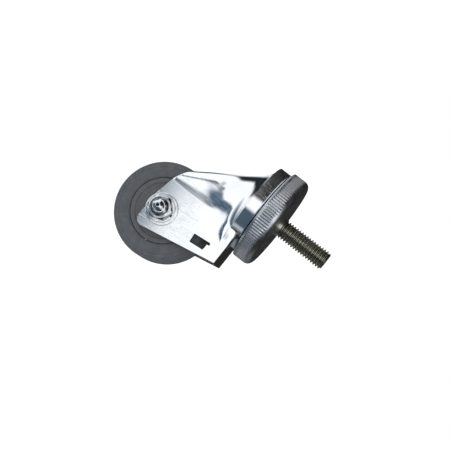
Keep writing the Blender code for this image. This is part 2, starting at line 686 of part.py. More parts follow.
def make_washers(parts, plated, hardened):
    bore = AXLE_RADIUS + GAP
    near = ring(WASHER_RADIUS, bore, WASHER_FACE + WASHER, WASHER_FACE)
    turned("nut_washer", near, parts, plated, AXLE, ALONG_Y, closed=True, steps=32)
    far = ring(WASHER_RADIUS, bore, -WASHER_FACE, -WASHER_FACE - WASHER)
    turned("head_washer", far, parts, plated, AXLE, ALONG_Y, closed=True, steps=32)
    face = LEG_INSIDE - GAP
    bore = BUSHING_RADIUS + GAP
    near = ring(THRUST_WASHER_RADIUS, bore, face, face - THRUST_WASHER)
    turned("thrust_washer_near", near, parts, hardened, AXLE, ALONG_Y, closed=True, steps=32)
    far = ring(THRUST_WASHER_RADIUS, bore, -face + THRUST_WASHER, -face)
    turned("thrust_washer_far", far, parts, hardened, AXLE, ALONG_Y, closed=True, steps=32)


def make_bushing(parts, cutters, hardened):
    half = LEG_INSIDE - GAP
    points = ring(BUSHING_RADIUS, AXLE_RADIUS + GAP, half, -half)
    bushing = turned("axle_bushing", points, parts, hardened, AXLE, ALONG_Y, closed=True)
    boolean(bushing, grease_port("bushing_grease_port", cutters))


# ---------------------------------------------------------------- grease fitting


def make_fitting(parts, cutters, plated, dark):
    base = BOLT_END + GAP
    tip = BOLT_END + FITTING_LENGTH
    hex_top = base + FITTING_HEX
    head = tip - FITTING_HEAD_LENGTH
    body = hexagon("grease_fitting", FITTING_HEX_FLATS, base, hex_top, parts, plated, AXLE, ALONG_Y)
    envelope = hex_envelope("fitting_chamfer", FITTING_HEX_FLATS, base, hex_top, cutters)
    boolean(body, envelope, "INTERSECT")
    core = FITTING_NECK + 1.3 * MM
    nipple = [
        (0, tip),
        (FITTING_MOUTH + FITTING_TIP_RIM, tip),
        (FITTING_HEAD, tip - FITTING_TIP_TAPER),
        (FITTING_HEAD, head + 0.5 * MM),
        (FITTING_NECK, head - 0.3 * MM),
        (FITTING_NECK, hex_top + 0.9 * MM),
        (core, hex_top - 0.4 * MM),
        (FITTING_SHANK, base + 0.4 * MM),
        (FITTING_SHANK, BOLT_END - FITTING_SHANK_LENGTH),
        (0, BOLT_END - FITTING_SHANK_LENGTH),
    ]
    boolean(body, as_cutter(turned("nipple", nipple, cutters, None, AXLE, ALONG_Y, steps=24)), "UNION")
    passage = [
        (0, tip + MM),
        (FITTING_MOUTH, tip + MM),
        (FITTING_MOUTH, tip - 0.4 * MM),
        (FITTING_BORE, tip - FITTING_LIP),
        (FITTING_BORE, BOLT_END - FITTING_SHANK_LENGTH - MM),
        (0, BOLT_END - FITTING_SHANK_LENGTH - MM),
    ]
    boolean(body, as_cutter(turned("fitting_passage", passage, cutters, None, AXLE, ALONG_Y, steps=16)))
    seat = tip - FITTING_LIP - CHECK_BALL
    make_check_ball(parts, seat, dark)
    make_spring(parts, seat - CHECK_BALL - CHECK_TRAVEL - GAP, dark)


def make_check_ball(parts, seat, dark):
    mesh = bpy.data.meshes.new("fitting_ball")
    bm = bmesh.new()
    bmesh.ops.create_uvsphere(bm, u_segments=12, v_segments=8, radius=CHECK_BALL)
    for face in bm.faces:
        face.smooth = True
    bm.to_mesh(mesh)
    bm.free()
    link("fitting_ball", mesh, parts, dark, AXLE + Vector((0, seat, 0)), ALONG_Y)


def make_spring(parts, top, dark):
    """A closed-wound coil along the fitting's bore."""
    curve = bpy.data.curves.new("fitting_spring", "CURVE")
    curve.dimensions = "3D"
    curve.bevel_depth = SPRING_WIRE
    curve.bevel_resolution = 1
    curve.use_fill_caps = True
    per_turn = 10
    count = SPRING_TURNS * per_turn + 1
    orbit = FITTING_BORE - SPRING_WIRE - RUNNING
    length = SPRING_LENGTH - 2 * SPRING_WIRE
    spline = curve.splines.new("POLY")
    spline.points.add(count - 1)
    for i, point in enumerate(spline.points):
        turn = 2 * pi * i / per_turn
        along = top - SPRING_WIRE - length * i / (count - 1)
        point.co = (orbit * cos(turn), orbit * sin(turn), along, 1)
    link("fitting_spring", curve, parts, dark, AXLE, ALONG_Y)


# ---------------------------------------------------------------- wheel


def make_wheel(parts, rubber, core_grey, hardened):
    half = WHEEL_WIDTH / 2
    flat = TREAD_FLAT / 2
    bore = CORE_RADIUS + GAP
    crown = half - flat
    outer = []
    for i in range(5):
        share = i / 4
        y = flat + crown * share
        outer.append((WHEEL_RADIUS - TREAD_SHOULDER * share**2.4, y))
    near = [(r, y) for r, y in reversed(outer)]
    far = [(r, -y) for r, y in outer]
    rim = half - CORE_RECESS
    points = [(bore, rim)] + near + far + [(bore, -rim)]
    turned("tyre", points, parts, rubber, AXLE, ALONG_Y, closed=True, steps=48)
    hub = HUB_WIDTH / 2
    web = WEB_WIDTH / 2
    inner_rim = CORE_RADIUS - CORE_RIM
    side = [
        (HUB_RADIUS, hub),
        (HUB_RADIUS + HUB_DRAFT, web),
        (inner_rim, web),
        (inner_rim + CORE_DRAFT, rim),
        (CORE_RADIUS, rim),
    ]
    bore = SLEEVE_RADIUS + GAP
    points = [(bore, hub)] + side + [(r, -y) for r, y in reversed(side)] + [(bore, -hub)]
    turned("wheel_core", points, parts, core_grey, AXLE, ALONG_Y, closed=True)
    sleeve = ring(SLEEVE_RADIUS, SLEEVE_BORE, hub, -hub)
    turned("bearing_sleeve", sleeve, parts, hardened, AXLE, ALONG_Y, closed=True)


def make_rollers(parts, cutters, hardened, brass):
    half = ROLLER_LENGTH / 2
    for i in range(ROLLERS):
        turn = 2 * pi * i / ROLLERS
        place = AXLE + Vector((ROLLER_ORBIT * cos(turn), 0, ROLLER_ORBIT * sin(turn)))
        cylinder(f"roller_{i + 1:02d}", ROLLER_RADIUS, -half, half, parts, hardened, place, ALONG_Y, 12)
    start = half + GAP
    inner = BUSHING_RADIUS + 2.5 * RUNNING
    outer = SLEEVE_BORE - 2.5 * RUNNING
    near = ring(outer, inner, start + CAGE_RING, start)
    far = ring(outer, inner, -start, -start - CAGE_RING)
    cage = turned("roller_cage", near, parts, brass, AXLE, ALONG_Y, closed=True, steps=32)
    far_ring = as_cutter(turned("cage_far_ring", far, cutters, None, AXLE, ALONG_Y, closed=True, steps=32))
    for i in range(ROLLERS):
        turn = 2 * pi * (i + 0.5) / ROLLERS
        place = AXLE + Vector((ROLLER_ORBIT * cos(turn), 0, ROLLER_ORBIT * sin(turn)))
        reach = start + CAGE_RING / 2
        bar = cylinder(f"cage_bar_{i}", CAGE_BAR_RADIUS, -reach, reach, cutters, None, place, ALONG_Y, 6)
        boolean(cage, as_cutter(bar), "UNION")
    boolean(cage, far_ring, "UNION")


# ---------------------------------------------------------------- assembly


def main():
    clear_scene()
    parts = new_collection("swivel_caster")
    cutters = new_collection("cutters", hidden=True)
    stem_zinc = material("stem_zinc", (0.62, 0.62, 0.55), 0.35, 1)
    cap_zinc = material("cap_zinc", (0.33, 0.34, 0.36), 0.4, 1)
    fork_chrome = material("fork_chrome", (0.78, 0.79, 0.8), 0.15, 1)
    hardware = material("hardware", (0.7, 0.72, 0.72), 0.25, 1)
    hardened = material("hardened_steel", (0.5, 0.5, 0.5), 0.3, 1)
    dark_steel = material("dark_steel", (0.08, 0.08, 0.09), 0.35, 1)
    brass = material("cage_brass", (0.7, 0.55, 0.25), 0.35, 1)
    rubber = material("grey_rubber", (0.13, 0.135, 0.145), 0.75, 0)
    core_grey = material("core_grey", (0.12, 0.125, 0.135), 0.65, 0)
    make_stem(parts, cutters, stem_zinc)
    make_cap(parts, cap_zinc)
    make_races(parts, hardened)
    make_balls(parts, "upper_ball", UPPER_BALLS, UPPER_ORBIT, UPPER_BALL_Z, hardened)
    make_balls(parts, "lower_ball", LOWER_BALLS, LOWER_ORBIT, LOWER_BALL_Z, hardened)
    make_fork(parts, cutters, fork_chrome)
    make_bolt(parts, cutters, hardware)
    make_nut(parts, cutters, hardware)
    make_lock_washer(parts, cutters, hardware)
    make_washers(parts, hardware, hardened)
    make_bushing(parts, cutters, hardened)
    make_fitting(parts, cutters, hardware, dark_steel)
    make_wheel(parts, rubber, core_grey, hardened)
    make_rollers(parts, cutters, hardened, brass)


main()
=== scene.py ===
"""Looks of a swivel caster with a threaded stem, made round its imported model.

The origin is on the stem's axis at the cap's mounting face. +Z runs up the stem, +X points to the
leading side, and the wheel trails towards -X. The axle lies along Y, with the nut and the grease
fitting at +Y and the bolt's head at -Y.
"""

import json
from math import cos, hypot, pi, radians, sin, sqrt, tan

import bmesh
import bpy
import numpy as np
from mathutils import Matrix, Vector


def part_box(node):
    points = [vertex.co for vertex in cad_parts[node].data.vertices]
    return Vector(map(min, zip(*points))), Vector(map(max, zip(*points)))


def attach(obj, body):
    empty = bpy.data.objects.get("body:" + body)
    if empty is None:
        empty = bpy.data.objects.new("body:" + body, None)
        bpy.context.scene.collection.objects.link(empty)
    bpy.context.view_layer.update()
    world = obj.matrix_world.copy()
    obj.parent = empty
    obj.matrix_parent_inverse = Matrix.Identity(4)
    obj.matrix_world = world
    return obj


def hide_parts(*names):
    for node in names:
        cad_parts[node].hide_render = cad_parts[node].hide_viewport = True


bl_info = {
    "name": "Swivel caster",
    "version": (1, 0, 0),
    "blender": (4, 5, 0),
    "location": "3D View > Sidebar > Caster",
    "description": "Makes a swivel caster's stem, cap, fork, axle and wheel",
    "category": "Add Mesh",
}

MM = 0.001
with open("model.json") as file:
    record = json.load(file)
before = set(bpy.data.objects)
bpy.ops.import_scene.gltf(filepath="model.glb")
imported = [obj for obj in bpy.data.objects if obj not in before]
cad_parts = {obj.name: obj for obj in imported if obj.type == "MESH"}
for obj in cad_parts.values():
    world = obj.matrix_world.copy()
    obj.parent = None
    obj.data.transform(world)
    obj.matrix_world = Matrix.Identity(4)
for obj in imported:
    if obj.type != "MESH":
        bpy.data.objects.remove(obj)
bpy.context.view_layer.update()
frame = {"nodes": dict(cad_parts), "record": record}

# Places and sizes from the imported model
STEM_LOW, STEM_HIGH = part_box("threaded_stem")
CAP_LOW, CAP_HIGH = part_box("swivel_cap")
RACE_LOW, RACE_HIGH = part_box("upper_race")
FORK_LOW, FORK_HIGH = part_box("fork")
TYRE_LOW, TYRE_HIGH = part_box("tyre")
CORE_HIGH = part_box("wheel_core")[1]
SLEEVE_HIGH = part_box("bearing_sleeve")[1]
NUT_LOW, NUT_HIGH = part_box("axle_nut")
BOLT_LOW, BOLT_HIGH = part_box("axle_bolt")
WASHER_LOW, WASHER_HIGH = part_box("nut_washer")
LOCK_LOW, LOCK_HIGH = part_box("lock_washer")
HEAD_WASHER_LOW, HEAD_WASHER_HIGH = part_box("head_washer")
FITTING_LOW, FITTING_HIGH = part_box("grease_fitting")
CHECK_LOW, CHECK_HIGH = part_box("fitting_ball")
ROLLER_LOW, ROLLER_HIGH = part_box("roller_01")
UPPER_BALL_LOW, UPPER_BALL_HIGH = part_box("upper_ball_01")
LOWER_BALL_LOW, LOWER_BALL_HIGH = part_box("lower_ball_01")
UPPER_BALLS = frame["record"]["behaviour"]["bodies"]["upper_ball_row"]
LOWER_BALLS = frame["record"]["behaviour"]["bodies"]["lower_ball_row"]
ROLLERS = [node for node in frame["nodes"] if node.startswith("roller_0")]

AXLE = (TYRE_LOW + TYRE_HIGH) / 2
ON_AXLE = Matrix.Translation(AXLE) @ Matrix.Rotation(-pi / 2, 4, "X")
WHEEL_RADIUS = (TYRE_HIGH.z - TYRE_LOW.z) / 2
WHEEL_HALF = (TYRE_HIGH.y - TYRE_LOW.y) / 2
CAP_RADIUS = CAP_HIGH.x
CROWN_RADIUS = FORK_HIGH.x
CROWN_TOP = FORK_HIGH.z
LEG_BOTTOM = FORK_LOW.z
GAP = 0.3 * MM  # between pieces that press or bolt together
LEG_SPREAD = WASHER_LOW.y - GAP

# Sizes that no setting changes
BOLT_HEAD_HEIGHT = 6.0 * MM
KINGPIN_HOLE_RADIUS = 5.9 * MM
WHEEL_ROOM = 2 * MM  # cut out of the fork round the tread
DOME_MOUTH = 0.05 * MM  # how far the crown's hollow starts below the crown
OUTLINE_HALF = 40 * MM  # half the width of the cutter that trims the fork
FORK_MERGE = 0.01 * MM  # points closer than this are joined before the edges are rounded
BEVEL_ANGLE = radians(50)
FORK_SHARP_ANGLE = radians(24)
LEG_REACH = 10 * MM  # how far the fork's body runs past its rear foot before it is trimmed
LEG_FLARE = 14 * MM  # length over which a leg flares into the hood
SLOT_CORNER = 0.45 * MM
SLOT_LEAN = radians(6)
CUT_PAST = 3 * MM  # how far the side cutters run past the legs

# The floor and the camera
FLOOR_HALF = 3.0
FLOOR_GLOW = 1.25
FLOOR_GLOW_SHARE = 0.8
CAMERA_PLACE = (-0.0578, 0.5847, 0.0529)
CAMERA_AHEAD = (0.0628, -0.9887, -0.1364)
CAMERA_RIGHT = (0.6227, -0.068, 0.7794)
SENSOR_WIDTH = 36
CLIP_START = 0.01

# The studio's surroundings: colours below and above the horizon, and the heights between which they mix
SKY_BELOW = (1.08, 1.1, 1.12)
SKY_ABOVE = (0.024, 0.022, 0.02)
SKY_LEVELS = (-0.175, -0.14)
# Azimuth, elevation, inner and outer angle in degrees, colour, and stretch across and upwards
SKY_PATCHES = (
    (150, -45, 24, 44, (0.10, 0.15, 0.20), (1, 1)),
    (312, -48, 18, 36, (0.02, 0.025, 0.03), (1, 1)),
    (132, 0, 20, 34, (0.07, 0.105, 0.145), (1, 1.6)),
    (163, -4, 3, 8, (0.45, 0.48, 0.5), (1, 2)),
    (230, 10, 20, 40, (0.2, 0.22, 0.23), (1, 1)),
    (270, 0, 12, 30, (0.024, 0.022, 0.02), (1, 1)),
    (92, 28, 15, 28, (1.15, 1.17, 1.19), (1, 4)),
    (91, -16, 3.4, 6, (0.05, 0.10, 0.16), (2.6, 1)),
    (75, -12, 1.2, 3, (0.09, 0.13, 0.18), (3.4, 1)),
)


# ---------------------------------------------------------------- settings


def length(name, description, millimetres):
    return bpy.props.FloatProperty(
        name=name, description=description, default=millimetres * MM, unit="LENGTH", precision=5
    )


def number(name, description, default):
    return bpy.props.IntProperty(name=name, description=description, default=default, min=1)


def share(name, description, default):
    return bpy.props.FloatProperty(name=name, description=description, default=default, min=0, max=1)


def colour(name, description, default):
    return bpy.props.FloatVectorProperty(
        name=name, description=description, default=default, subtype="COLOR", size=3, min=0, max=1
    )


class StemSettings(bpy.types.PropertyGroup):
    radius: length("Radius", "Over the thread's crests", 6.35)
    pitch: length("Pitch", "From one thread crest to the next", 25.4 / 13)
    depth: length("Thread depth", "From crest to root", 1.198)
    tip: length("Tip chamfer", "Taken off the stem's end", 1.3)
    plain: length("Plain length", "Unthreaded length above the cap", 1.2)
    collar: length("Collar radius", "Of the shoulder inside the upper race", 9.5)
    kingpin: length("Kingpin radius", "Of the pin through the crown", 5.0)
    head: length("Head height", "Of the peened end", 3.0)
    head_radius: length("Head radius", "Of the peened end", 8.5)


class CapSettings(bpy.types.PropertyGroup):
    wall: length("Wall", "Thickness of the rim", 3.1)
    plate: length("Plate", "Thickness of the cap's top", 5.0)
    shoulder: length("Shoulder", "Rounding of the upper rim", 4.2)
    ribs: number("Ribs", "How many run round the rim", 108)
    rib_depth: length("Rib depth", "From a rib's top to the groove's floor", 0.28)
    ball: length("Ball radius", "Of the balls in both rows", 3.175)


class ForkSettings(bpy.types.PropertyGroup):
    sheet: length("Sheet", "Thickness of the plate that the fork is stamped from", 2.1)
    crown_plate: length("Crown plate", "Thickness of the crown between the ball rows", 3.0)
    crown_depth: length("Crown depth", "Height of the crown's round wall", 8.0)
    plate_drop: length("Rear plate drop", "From the crown's top face to the rear plate's", 2.0)
    neck: length("Neck fillet", "Between the hood and the crown's wall", 6.3)
    bend: length("Leg bend", "From a leg to the rear plate, outside", 3.6)
    rear_bottom: length("Rear foot", "From the axle back to a leg's lower corner", 15.25)
    rear_top: length("Rear top", "From the axle back to a leg's upper corner", 5.7)
    corner: length("Leg corner", "Rounding of a leg's lower rear corner", 5.0)
    clearance: length("Hood clearance", "From the wheel's leading edge to the hood's outer face", 0.2)
    fold: length("Tread to fold", "From the wheel's leading edge back to the fold", 12.7)
    bulge: length("Hood bulge", "How far the hood swells sideways under the crown", 7.8)
    crease: share("Crease", "How far the hood turns in at the fold, as a slope", 0.17)
    slot_width: length("Slot width", "Of the window in each leg", 6.0)
    slot_length: length("Slot length", "Of the window in each leg", 11.8)
    slot_drop: length("Slot drop", "From the rear plate's top face to the slot's centre", 15.3)
    slot_behind: length("Slot set back", "Of the slot's centre behind the axle", 1.55)
    edge: length("Edge rounding", "Of the stamped edges", 0.28)
    ball_groove: length("Groove radius", "Of the ball grooves in the crown", 3.375)


class AxleSettings(bpy.types.PropertyGroup):
    radius: length("Bolt radius", "Of the axle bolt", 4.7625)
    pitch: length("Pitch", "Of the bolt's thread", 25.4 / 16)
    depth: length("Thread depth", "Of the bolt's thread", 0.97)
    chamfer: length("End chamfer", "Of the bolt's end", 1.02)
    threaded: length("Threaded length", "From the bolt's end towards its head", 15.0)
    flats: length("Across flats", "Of the bolt's head and of the nut", 14.2875)
    nut_turn: bpy.props.FloatProperty(
        name="Nut turn", description="From a flat that faces the hood", default=radians(17), subtype="ANGLE"
    )
    grease_bore: length("Grease bore", "Radius of the bore that takes the fitting", 2.9)
    grease_depth: length("Grease depth", "Of the fitting's bore", 8.0)
    grease_port: length("Grease port", "Radius of the feed to the bearing", 1.1)
    split: share("Split", "Of the lock washer, as a share of a turn", 0.034)
    fitting_flats: length("Fitting flats", "Across the grease fitting's hex", 7.94)
    fitting_hex: length("Fitting hex", "Height of the grease fitting's hex", 2.2)
    fitting_neck: length("Fitting neck", "Radius of the fitting's neck", 2.2)
    fitting_head: length("Fitting head", "Radius of the fitting's head", 3.25)
    fitting_bore: length("Fitting bore", "Radius of the fitting's passage", 1.5)


class WheelSettings(bpy.types.PropertyGroup):
    tread: length("Tread", "Width of the tread's flat band", 16.8)
    drop: length("Shoulder drop", "From the tread to the edge of the wheel's face", 2.0)
    core: length("Core radius", "Where the hard core ends", 20.7)
    core_rim: length("Core rim", "Thickness of the core's outer ring", 3.2)
    recess: length("Core recess", "Of the core's faces behind the wheel's", 0.6)
    web: length("Web", "Width of the core's web", 26.0)
    hub_wall: length("Hub wall", "Round the bearing's sleeve", 2.1)


class FinishSettings(bpy.types.PropertyGroup):
    plate: colour("Fork plate", "Bright plating of the fork", (0.93, 0.945, 0.955))
    plate_dull: colour("Fork dulled", "Where the plating has dulled", (0.80, 0.83, 0.86))
    cap: colour("Cap zinc", "Plating of the cap", (0.66, 0.69, 0.73))
    cap_dull: colour("Cap dulled", "Where the cap's plating has dulled", (0.42, 0.44, 0.47))
    stem: colour("Stem zinc", "Slightly yellowed plating of the stem", (0.74, 0.72, 0.60))
    stem_dull: colour("Stem roots", "In the thread's roots", (0.26, 0.25, 0.19))
    hardware: colour("Hardware", "Bright zinc of the bolt, nut and washers", (0.76, 0.79, 0.80))
    hardware_dull: colour("Hardware dulled", "Where the zinc has dulled", (0.50, 0.54, 0.56))
    # Painted shade, not residue: this near-black colour darkens the nut's side faces as if they stood in
    # shadow.
    nut_side_shade: colour("Nut sides", "Oily residue on the nut's side faces", (0.035, 0.045, 0.04))
    hardened: colour("Hardened steel", "Of balls, races, rollers and sleeve", (0.55, 0.56, 0.57))
    dark: colour("Spring steel", "Oiled dark steel in the grease fitting", (0.06, 0.06, 0.07))
    brass: colour("Cage brass", "Of the roller cage", (0.72, 0.55, 0.27))
    rubber: colour("Rubber", "Of the tyre", (0.075, 0.082, 0.092))
    rubber_dust: colour("Rubber dust", "On the tyre", (0.12, 0.128, 0.14))
    core: colour("Core", "Of the wheel's hard core", (0.085, 0.09, 0.1))


class StageSettings(bpy.types.PropertyGroup):
    floor: bpy.props.FloatVectorProperty(
        name="Floor", description="Colour of the floor", default=(0.93, 0.93, 0.93), subtype="COLOR", size=3
    )
    lens: bpy.props.FloatProperty(name="Lens", description="Of the camera, in millimetres", default=74.746)


# ---------------------------------------------------------------- node expressions


class Value:
    """A socket in a node tree. Python's operators on it add Math nodes."""

    def __init__(self, graph, socket):
        self.graph = graph
        self.socket = socket

    def math(self, operation, *values):
        return self.graph.add("ShaderNodeMath", {"operation": operation}, dict(enumerate(values)))

    def __add__(self, other):
        return self.math("ADD", self, other)

    def __radd__(self, other):
        return self.math("ADD", other, self)

    def __sub__(self, other):
        return self.math("SUBTRACT", self, other)

    def __rsub__(self, other):
        return self.math("SUBTRACT", other, self)

    def __mul__(self, other):
        return self.math("MULTIPLY", self, other)

    def __rmul__(self, other):
        return self.math("MULTIPLY", other, self)

    def __truediv__(self, other):
        return self.math("DIVIDE", self, other)

    def __rtruediv__(self, other):
        return self.math("DIVIDE", other, self)

    def __pow__(self, other):
        return self.math("POWER", self, other)

    def __abs__(self):
        return self.math("ABSOLUTE", self)

    def __gt__(self, other):
        return self.math("GREATER_THAN", self, other)

    def least(self, other):
        return self.math("MINIMUM", self, other)

    def most(self, other):
        return self.math("MAXIMUM", self, other)

    def sine(self):
        return self.math("SINE", self)

    def cosine(self):
        return self.math("COSINE", self)

    def clamped(self):
        return self.graph.add("ShaderNodeClamp", None, {0: self})

    def rising(self, low, high):
        """0 at low, 1 at high, and smooth between them."""
        settings = {"interpolation_type": "SMOOTHSTEP"}
        return self.graph.add("ShaderNodeMapRange", settings, {0: self, 1: low, 2: high})


class Graph:
    """Adds nodes to one tree."""

    def __init__(self, tree):
        self.tree = tree

    def add(self, kind, settings=None, inputs=None, out=0):
        """A node of this kind, with its settings set first and then its sockets; returns one output."""
        node = self.tree.nodes.new(kind)
        for name, value in (settings or {}).items():
            setattr(node, name, value)
        for key, value in (inputs or {}).items():
            if isinstance(value, Value):
                self.tree.links.new(value.socket, node.inputs[key])
            else:
                node.inputs[key].default_value = value
        return Value(self, node.outputs[out]) if node.outputs else None

    def parts(self, vector):
        """The X, Y and Z of a vector."""
        first = self.add("ShaderNodeSeparateXYZ", None, {0: vector})
        return [Value(self, output) for output in first.socket.node.outputs]

    def vector(self, x, y, z):
        return self.add("ShaderNodeCombineXYZ", None, {0: x, 1: y, 2: z})

    def mixed(self, factor, low, high):
        """A colour between two colours."""
        return self.add("ShaderNodeMix", {"data_type": "RGBA"}, {0: factor, 6: low, 7: high}, out=2)

    def place(self, scale, turn=(0, 0, 0), origin=(0, 0, 0)):
        """Object coordinates in millimetres from an origin, turned and then scaled along each axis."""
        spot = self.add("ShaderNodeTexCoord", out=3)
        moved = self.add("ShaderNodeVectorMath", {"operation": "SUBTRACT"}, {0: spot, 1: origin})
        turned = self.add("ShaderNodeMapping", None, {"Vector": moved, "Rotation": turn})
        size = [value / MM for value in scale]
        return self.add("ShaderNodeMapping", None, {"Vector": turned, "Scale": size})

    def noise(self, place, scale, detail=3, rough=0.5):
        inputs = {"Vector": place, "Scale": scale, "Detail": detail, "Roughness": rough}
        return self.add("ShaderNodeTexNoise", None, inputs)


def opaque(values):
    return (*values, 1)


def new_material(name, paint):
    """A material whose surface is what paint adds to its empty graph."""
    made = bpy.data.materials.new(name)
    made.use_nodes = True
    made.node_tree.nodes.clear()
    graph = Graph(made.node_tree)
    graph.add("ShaderNodeOutputMaterial", None, {"Surface": paint(graph)})
    return made


def metal(
    name, bright, dull, roughness, along=(1, 1, 0.04), turn=(0, 0, 0), brush=0.3, clouds=0.16, darkening=None
):
    """Plated or ground steel: cloudy colour, uneven polish, fine brushing along one axis, long scratches, and
    an optional extra darkening, which on the nut is painted shade on its side faces.
    """

    def paint(graph):
        even = graph.place((1, 1, 1))
        drawn = graph.place(along, turn)
        cloud = graph.noise(even, clouds, detail=4, rough=0.6).rising(low=0.35, high=0.68)
        fine = graph.noise(drawn, scale=9, detail=3, rough=0.65)
        line = abs(graph.noise(drawn, scale=1.7, detail=2, rough=0.4) - 0.5)
        scratch = 1 - line.rising(low=0, high=0.012)
        speck = graph.noise(even, scale=3.2, detail=3, rough=0.7).rising(low=0.62, high=0.74)
        wear_and_darkening = cloud * 0.55 + speck * 0.25 + scratch * 0.15
        # The optional darkening is painted shade on the nut's side faces; on the stem it darkens the thread's
        # roots.
        if darkening:
            wear_and_darkening = wear_and_darkening + darkening(graph)
        shade = graph.mixed(wear_and_darkening.clamped(), opaque(bright), opaque(dull))
        polish = roughness * (0.75 + cloud * 0.5 + speck * 0.35 + scratch * 0.3) + (fine - 0.5) * 0.12 * brush
        relief = fine * brush - scratch * 0.35 - speck * 0.12
        bump = graph.add("ShaderNodeBump", None, {"Strength": 0.35, "Distance": 0.02 * MM, "Height": relief})
        return graph.add(
            "ShaderNodeBsdfPrincipled",
            None,
            {"Base Color": shade, "Metallic": 1, "Roughness": polish.clamped(), "Normal": bump},
        )

    return new_material(name, paint)


def thread_root_darkening(radius, depth):
    """Darker colour towards a thread's root."""

    def shade(graph):
        x, y, _ = graph.parts(graph.place((1, 1, 1)))
        reach = ((x * x + y * y) ** 0.5) * MM
        return 1 - reach.rising(radius - depth * 1.02, radius - depth * 0.1)

    return shade


def rubber(name, main, dust):
    """Matt rubber with mould rings on its side faces, scuffs and a dusty bloom."""

    def paint(graph):
        spot = graph.place((1, 1, 1), origin=AXLE)
        x, y, z = graph.parts(spot)
        reach = (x * x + z * z) ** 0.5
        bloom = graph.noise(spot, scale=0.22, detail=4, rough=0.6).rising(low=0.35, high=0.7)
        grain = graph.noise(spot, scale=6, detail=3, rough=0.7)
        scuff = graph.noise(spot, scale=1.1, detail=3, rough=0.7).rising(low=0.55, high=0.75)
        rings = (reach * 5.5 + graph.noise(spot, 0.3) * 0.8).sine() * 0.5 + 0.5
        radius = WHEEL_RADIUS / MM
        edge = reach.rising(radius - 3.6, radius - 1.2)
        dusty = bloom * 0.55 + scuff * 0.25 + grain * 0.2 - edge * 0.45
        shade = graph.mixed(dusty.clamped(), opaque(main), opaque(dust))
        relief = grain * 0.7 + rings * 0.18 + scuff * 0.3
        bump = graph.add("ShaderNodeBump", None, {"Strength": 0.5, "Distance": 0.05 * MM, "Height": relief})
        rough = 0.62 + bloom * 0.16 + grain * 0.08
        return graph.add(
            "ShaderNodeBsdfPrincipled",
            None,
            {"Base Color": shade, "Roughness": rough, "Specular IOR Level": 0.35, "Normal": bump},
        )

    return new_material(name, paint)


class Finishes:
    """The materials of the caster, made once from the finish settings."""

    made = {}

    @classmethod
    def get(cls, name):
        if name not in cls.made:
            cls.made[name] = getattr(cls, name)(bpy.context.scene.caster_finish)
        return cls.made[name]

    @staticmethod
    def fork_plate(s):
        lean = Vector((1, 0, 1.38)).to_track_quat("Z", "Y").to_euler()
        turn = (0, -lean.y, 0)
        return metal("fork_plate", s.plate, s.plate_dull, 0.075, (1, 1, 0.03), turn, brush=0.35, clouds=0.09)

    @staticmethod
    def cap_zinc(s):
        return metal("cap_zinc", s.cap, s.cap_dull, 0.36, (1, 1, 0.12), brush=0.5)

    @staticmethod
    def stem_zinc(s):
        stem = bpy.context.scene.caster_stem
        darkening = thread_root_darkening(stem.radius, stem.depth)
        return metal("stem_zinc", s.stem, s.stem_dull, 0.3, (1, 1, 0.5), brush=0.4, darkening=darkening)

    @staticmethod
    def hardware(s):
        return metal("hardware_zinc", s.hardware, s.hardware_dull, 0.13, (1, 0.1, 1), brush=0.35, clouds=0.3)

    @staticmethod
    def nut(s):
        full = NUT_HIGH.y - 1.3 * MM
        clear = NUT_HIGH.y - 0.7 * MM

        # Painted shade: the nut is darkened to its side colour everywhere below its top 1.3 mm, fading out
        # 0.7 mm from the top, so its side faces look shadowed.
        def shaded_sides(graph):
            height = graph.parts(graph.place((1, 1, 1)))[1] * MM
            return 1.4 * (1 - height.rising(full, clear))

        return metal("nut_zinc_painted_side_shade", s.hardware, s.nut_side_shade, 0.13, (1, 0.1, 1), clouds=0.3, darkening=shaded_sides)

    @staticmethod
    def hardened(s):
        dull = [value * 0.6 for value in s.hardened]
        return metal("hardened_steel", s.hardened, dull, 0.2, (1, 0.3, 1), brush=0.3)

    @staticmethod
    def dark(s):
        dull = [value * 0.5 for value in s.dark]
        return metal("spring_steel", s.dark, dull, 0.3, brush=0.3)

    @staticmethod
    def brass(s):
        dull = [value * 0.55 for value in s.brass]
        return metal("cage_brass", s.brass, dull, 0.3, (1, 0.2, 1), brush=0.4)

    @staticmethod
    def tyre(s):
        return rubber("tyre_rubber", s.rubber, s.rubber_dust)

    @staticmethod
    def core(s):
        return rubber("hard_core", s.core, s.rubber_dust)


# ---------------------------------------------------------------- meshes


def new_object(name, mesh):
    made = bpy.data.objects.new(name, mesh)
    bpy.context.scene.collection.objects.link(made)
    return made


def tidied(mesh, merge=1e-6):
    """Merges doubled points, drops what that flattens and turns every face outwards."""
    bm = bmesh.new()
    bm.from_mesh(mesh)
    bmesh.ops.remove_doubles(bm, verts=bm.verts, dist=merge)
    bmesh.ops.dissolve_degenerate(bm, edges=bm.edges, dist=merge)
    bmesh.ops.recalc_face_normals(bm, faces=bm.faces)
    bm.to_mesh(mesh)
    bm.free()
    return mesh


def solid(name, points, faces):
    """An object with a tidied mesh of these points and faces."""
    mesh = bpy.data.meshes.new(name)
    mesh.from_pydata(points, [], faces)
    return new_object(name, tidied(mesh))


